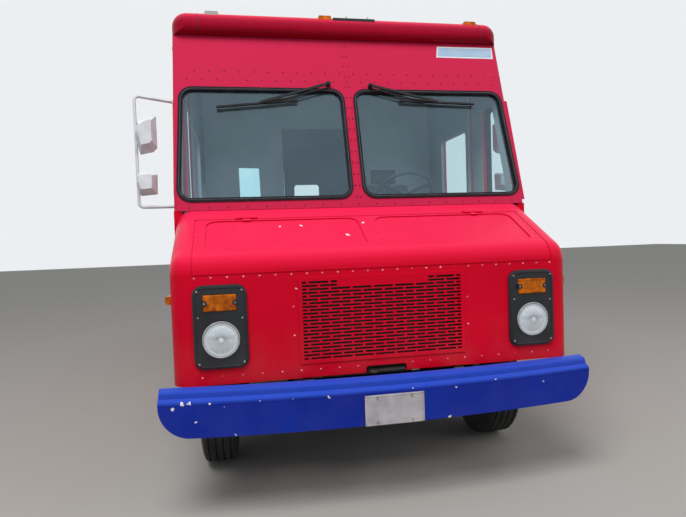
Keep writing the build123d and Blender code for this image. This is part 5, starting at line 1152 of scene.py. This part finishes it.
# Doors: flush plated handles on both faces of the sliding cab doors, which run close inside the walls.
# The rear doors have a steel lock rod in guides with a lift handle, a grab handle and window seals.
steel_grey = finish(
    "plain_steel", ((120, 122, 124), (158, 160, 162)), (0.3, 0.5), 0.9, patches=12.0,
    grain=(240.0, 0.1, 0.0006), dust=0.3,
)
REAR_FACE = 2.9305
REAR_WINDOW = ((0.15, 1.65), (0.55, 1.65), (0.55, 2.2), (0.15, 2.2))
for side, name in SIDES:
    plates, cups = bmesh.new(), bmesh.new()
    for face, proud in ((1.035, 0.0022), (1.0, -0.0022)):
        plate = (side * (face - proud / 2), side * (face + proud))
        cup = (side * face, side * (face + proud * 1.3))
        brick(plates, (plate[0], behind(1.7), 1.26), (plate[1], behind(1.79), 1.45))
        brick(cups, (cup[0], behind(1.717), 1.29), (cup[1], behind(1.773), 1.42))
    fit(plates, f"handle_plate_{name}", bright_metal, f"door_{name}", "steel", bevel=0.0006, rounds=1)
    fit(cups, f"handle_cup_{name}", black_enamel, f"door_{name}", "black_paint")
    rim = rounded_loop([(side * x, REAR_FACE + 0.0015, z) for x, z in REAR_WINDOW], 0.05)
    tubes(
        f"rear_window_seal_{name}", [rim], 0.008, seal_rubber, f"rear_door_{name}", "black_rubber", 8, True
    )
ROD_Y, LIFT_Y, GRAB_Y = REAR_FACE + 0.012, REAR_FACE + 0.024, REAR_FACE + 0.03
rod = [(0.05, ROD_Y, 0.9), (0.05, ROD_Y, 2.36)]
lift = [(0.05, ROD_Y, 1.35), (0.08, LIFT_Y, 1.35), (0.19, LIFT_Y, 1.33)]
tubes("rear_lock_rod", [rod, lift], 0.008, bright_metal, "rear_door_left", "steel")
form = bmesh.new()
for z in (0.95, 1.3, 1.4, 2.3):
    brick(form, (0.03, REAR_FACE - 0.0005, z), (0.07, REAR_FACE + 0.018, z + 0.03))
fit(form, "lock_rod_guides", steel_grey, "rear_door_left", "steel", bevel=0.003)
grab = [(-0.08, REAR_FACE, 1.2), (-0.08, GRAB_Y, 1.21), (-0.08, GRAB_Y, 1.49), (-0.08, REAR_FACE, 1.5)]
tubes("rear_grab_handle", [grab], 0.009, bright_metal, "rear_door_right", "steel")


# Rear door seals: black rubber round the doorway behind the leaves, pressed on its edge,
# and a rubber lip on the free edge of each leaf.
form = bmesh.new()
SEAL_Y = (2.881, 2.8892)
for side in (1, -1):
    brick(form, (0.678 * side, SEAL_Y[0], 0.83), (0.7005 * side, SEAL_Y[1], 2.43))
for z0, z1 in ((0.8295, 0.852), (2.408, 2.4305)):
    brick(form, (-0.678, SEAL_Y[0], z0), (0.678, SEAL_Y[1], z1))
fit(form, "rear_doorway_seal", seal_rubber, "truck", "black_rubber")
for side, name in SIDES:
    form = bmesh.new()
    brick(form, (0.002 * side, 2.897, 0.85), (0.0062 * side, 2.923, 2.41))
    fit(form, f"rear_door_lip_{name}", seal_rubber, f"rear_door_{name}", "black_rubber")


# Hatch: a lid of painted sheet with a stiffening rib round it, and two plated turn latches below.
# It hangs on two gas struts, with black barrels and bright rods.
strut_black = finish("strut_black", ((22, 22, 24), (34, 34, 36)), (0.25, 0.4), patches=20.0, coat=0.4)
finish_nodes(strut_black, "strut_barrels")
finish_nodes(bright_metal, "strut_rods")
form = bmesh.new()
for z in (1.66, 2.36):
    brick(form, (-1.0895, HATCH[0] + 0.05, z), (-1.0845, HATCH[1] - 0.05, z + 0.02))
for y in (HATCH[0] + 0.05, HATCH[1] - 0.07):
    brick(form, (-1.0895, y, 1.66), (-1.0845, y + 0.02, 2.38))
fit(form, "hatch_ribs", red_enamel, "serving_hatch", "red_paint", bevel=0.002)
form = bmesh.new()
for y in (HATCH[0] + 0.3, HATCH[1] - 0.36):
    brick(form, (-1.0925, y, 1.635), (-1.0845, y + 0.06, 1.655))
    brick(form, (-1.1, y + 0.024, 1.63), (-1.09, y + 0.036, 1.652))
fit(form, "hatch_latches", bright_metal, "serving_hatch", "steel", bevel=0.002)


# Tail: round red lamps in bright rings, screwed to the rear frame.
# The rear bumper is a black steel step, with rows of raised treads.
red_lens = finish(
    "red_lens", ((130, 6, 10), (168, 12, 16)), (0.15, 0.3), patches=20.0, grain=(160.0, 0.5, 0.0015),
    coat=0.6,
)
finish_nodes(red_lens, "tail_lamps")
TAIL_RING = ((0.0495, 0.0), (0.0495, 0.011), (0.053, 0.0125), (0.056, 0.0))
form = bmesh.new()
for side in (1, -1):
    for z in (0.9, 1.01):
        lathe(form, TAIL_RING, (side * 0.96, TAIL, z), BACK, 32)
fit(form, "tail_lamp_rings", bright_metal, "truck", "steel")
sites = [((x, y, 0.6), UP) for x in steps(-1.03, 1.03, 0.05) for y in (2.945, 2.98, 3.015)]
heads("bumper_treads", sites, (0.011, 0.007, 0.003), black_enamel, "truck")


# Running gear: a chassis, axles and tank of oiled and dusty black steel, a cast engine and a rusted exhaust.
# A cross plate of the same steel is welded between the rails at the tail.
underbody = finish(
    "underbody_black", ((28, 27, 26), (50, 47, 44)), (0.55, 0.85), 0.1, patches=6.0,
    grain=(70.0, 0.5, 0.003), dust=0.5, rust=0.35,
)
finish_nodes(
    underbody, "chassis_frame", "leaf_springs", "front_axle", "rear_axle", "drive_shaft", "fuel_tank",
    "knuckle_left", "knuckle_right", "tie_rod",
)
cast_iron = finish(
    "cast_engine", ((58, 58, 60), (84, 82, 80)), (0.5, 0.8), 0.5, patches=9.0, grain=(110.0, 0.5, 0.002),
    rust=0.3,
)
finish_nodes(cast_iron, "engine_block")
form = bmesh.new()
brick(form, (-0.376, TAIL - 0.042, 0.495), (0.376, TAIL - 0.038, 0.643))
fit(form, "tail_cross_plate", underbody, "truck", "chassis_black")
exhaust_steel = finish(
    "rusted_exhaust", ((92, 66, 48), (120, 96, 78)), (0.6, 0.9), 0.4, patches=12.0,
    grain=(140.0, 0.5, 0.002), rust=0.8,
)
finish_nodes(exhaust_steel, "exhaust")


# Tyres: black rubber with four grooves round the tread, cut shoulder blocks and a moulded rib on each wall.
# Each hides the plain form that the model carries, inside whose outline it stays.
TYRE_R = 0.375
tyre_rubber = finish(
    "tyre_rubber", ((20, 20, 21), (30, 30, 31)), (0.6, 0.85), patches=8.0, grain=(220.0, 0.4, 0.001),
    dust=0.1,
)
WALL = (
    (0.206, 0.089), (0.215, 0.0925), (0.258, 0.104), (0.29, 0.107), (0.294, 0.1075), (0.3, 0.1075),
    (0.304, 0.106), (0.335, 0.1015), (0.352, 0.0965), (0.366, 0.089), (0.3735, 0.082),
)
GROOVES = ((0.066, 0.058), (0.024, 0.016))
CROWN_R, GROOVE_R = 0.3745, 0.3645
half_profile = list(WALL)
for outer, inner in GROOVES:
    half_profile += [
        (CROWN_R, outer), (GROOVE_R, outer - 0.001), (GROOVE_R, inner + 0.001), (CROWN_R, inner)
    ]
profile = half_profile + [(r, -w) for r, w in reversed(half_profile)]


def tyre(form, x, y, segments=144):
    """Adds a tyre: the profile turned about the axle, every fourth step of its shoulder cut back."""
    rows = []
    for i in range(segments):
        turn = math.tau * i / segments
        row = []
        for r, w in profile:
            cut = 0.007 if i % 4 == 0 and r > 0.36 and abs(w) > 0.07 else 0.0
            row.append(
                form.verts.new((x + w, y + (r - cut) * math.sin(turn), TYRE_R - (r - cut) * math.cos(turn)))
            )
        rows.append(row)
    for i in range(segments):
        near, far = rows[i], rows[(i + 1) % segments]
        for j in range(len(profile)):
            k = (j + 1) % len(profile)
            form.faces.new((near[j], near[k], far[k], far[j]))


FRONT_AXLE, REAR_AXLE = behind(0.76), behind(REAR_SETBACK)
FRONT_X = 0.885
for name, body, places, axle in (
    ("front_tyre_left", "front_wheel_left", (FRONT_X,), FRONT_AXLE),
    ("front_tyre_right", "front_wheel_right", (-FRONT_X,), FRONT_AXLE),
    ("rear_tyres_left", "rear_wheels_left", (0.7, 0.945), REAR_AXLE),
    ("rear_tyres_right", "rear_wheels_right", (-0.7, -0.945), REAR_AXLE),
):
    form = bmesh.new()
    for x in places:
        tyre(form, x, axle)
    piece = fit(form, f"treaded_{name}", tyre_rubber, body, "tyre", smooth=35)
    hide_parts(name)


# Wheels: pressed steel discs in grey enamel, with rust at the holes.
# Each is held to its hub by eight nuts.
wheel_enamel = finish(
    "wheel_enamel", ((150, 150, 148), (176, 175, 172)), (0.4, 0.6), patches=9.0, grain=(120.0, 0.2, 0.001),
    dust=0.5, rust=0.5,
)
finish_nodes(wheel_enamel, "front_rim_left", "front_rim_right", "rear_rims_left", "rear_rims_right")
NUTS = 8
for side, name in SIDES:
    for body, x, axle, ring in (
        (f"front_wheel_{name}", FRONT_X + 0.038, FRONT_AXLE, 0.085),
        (f"rear_wheels_{name}", 0.8225 + 0.016, REAR_AXLE, 0.088),
    ):
        sites = []
        for i in range(NUTS):
            turn = math.tau * (i + 0.5) / NUTS
            place = (side * x, axle + ring * math.sin(turn), TYRE_R + ring * math.cos(turn))
            sites.append((place, LEFT * side))
        heads(f"nuts_{body}", sites, (0.014, 0.012, 0.02), steel_grey, body, 6)
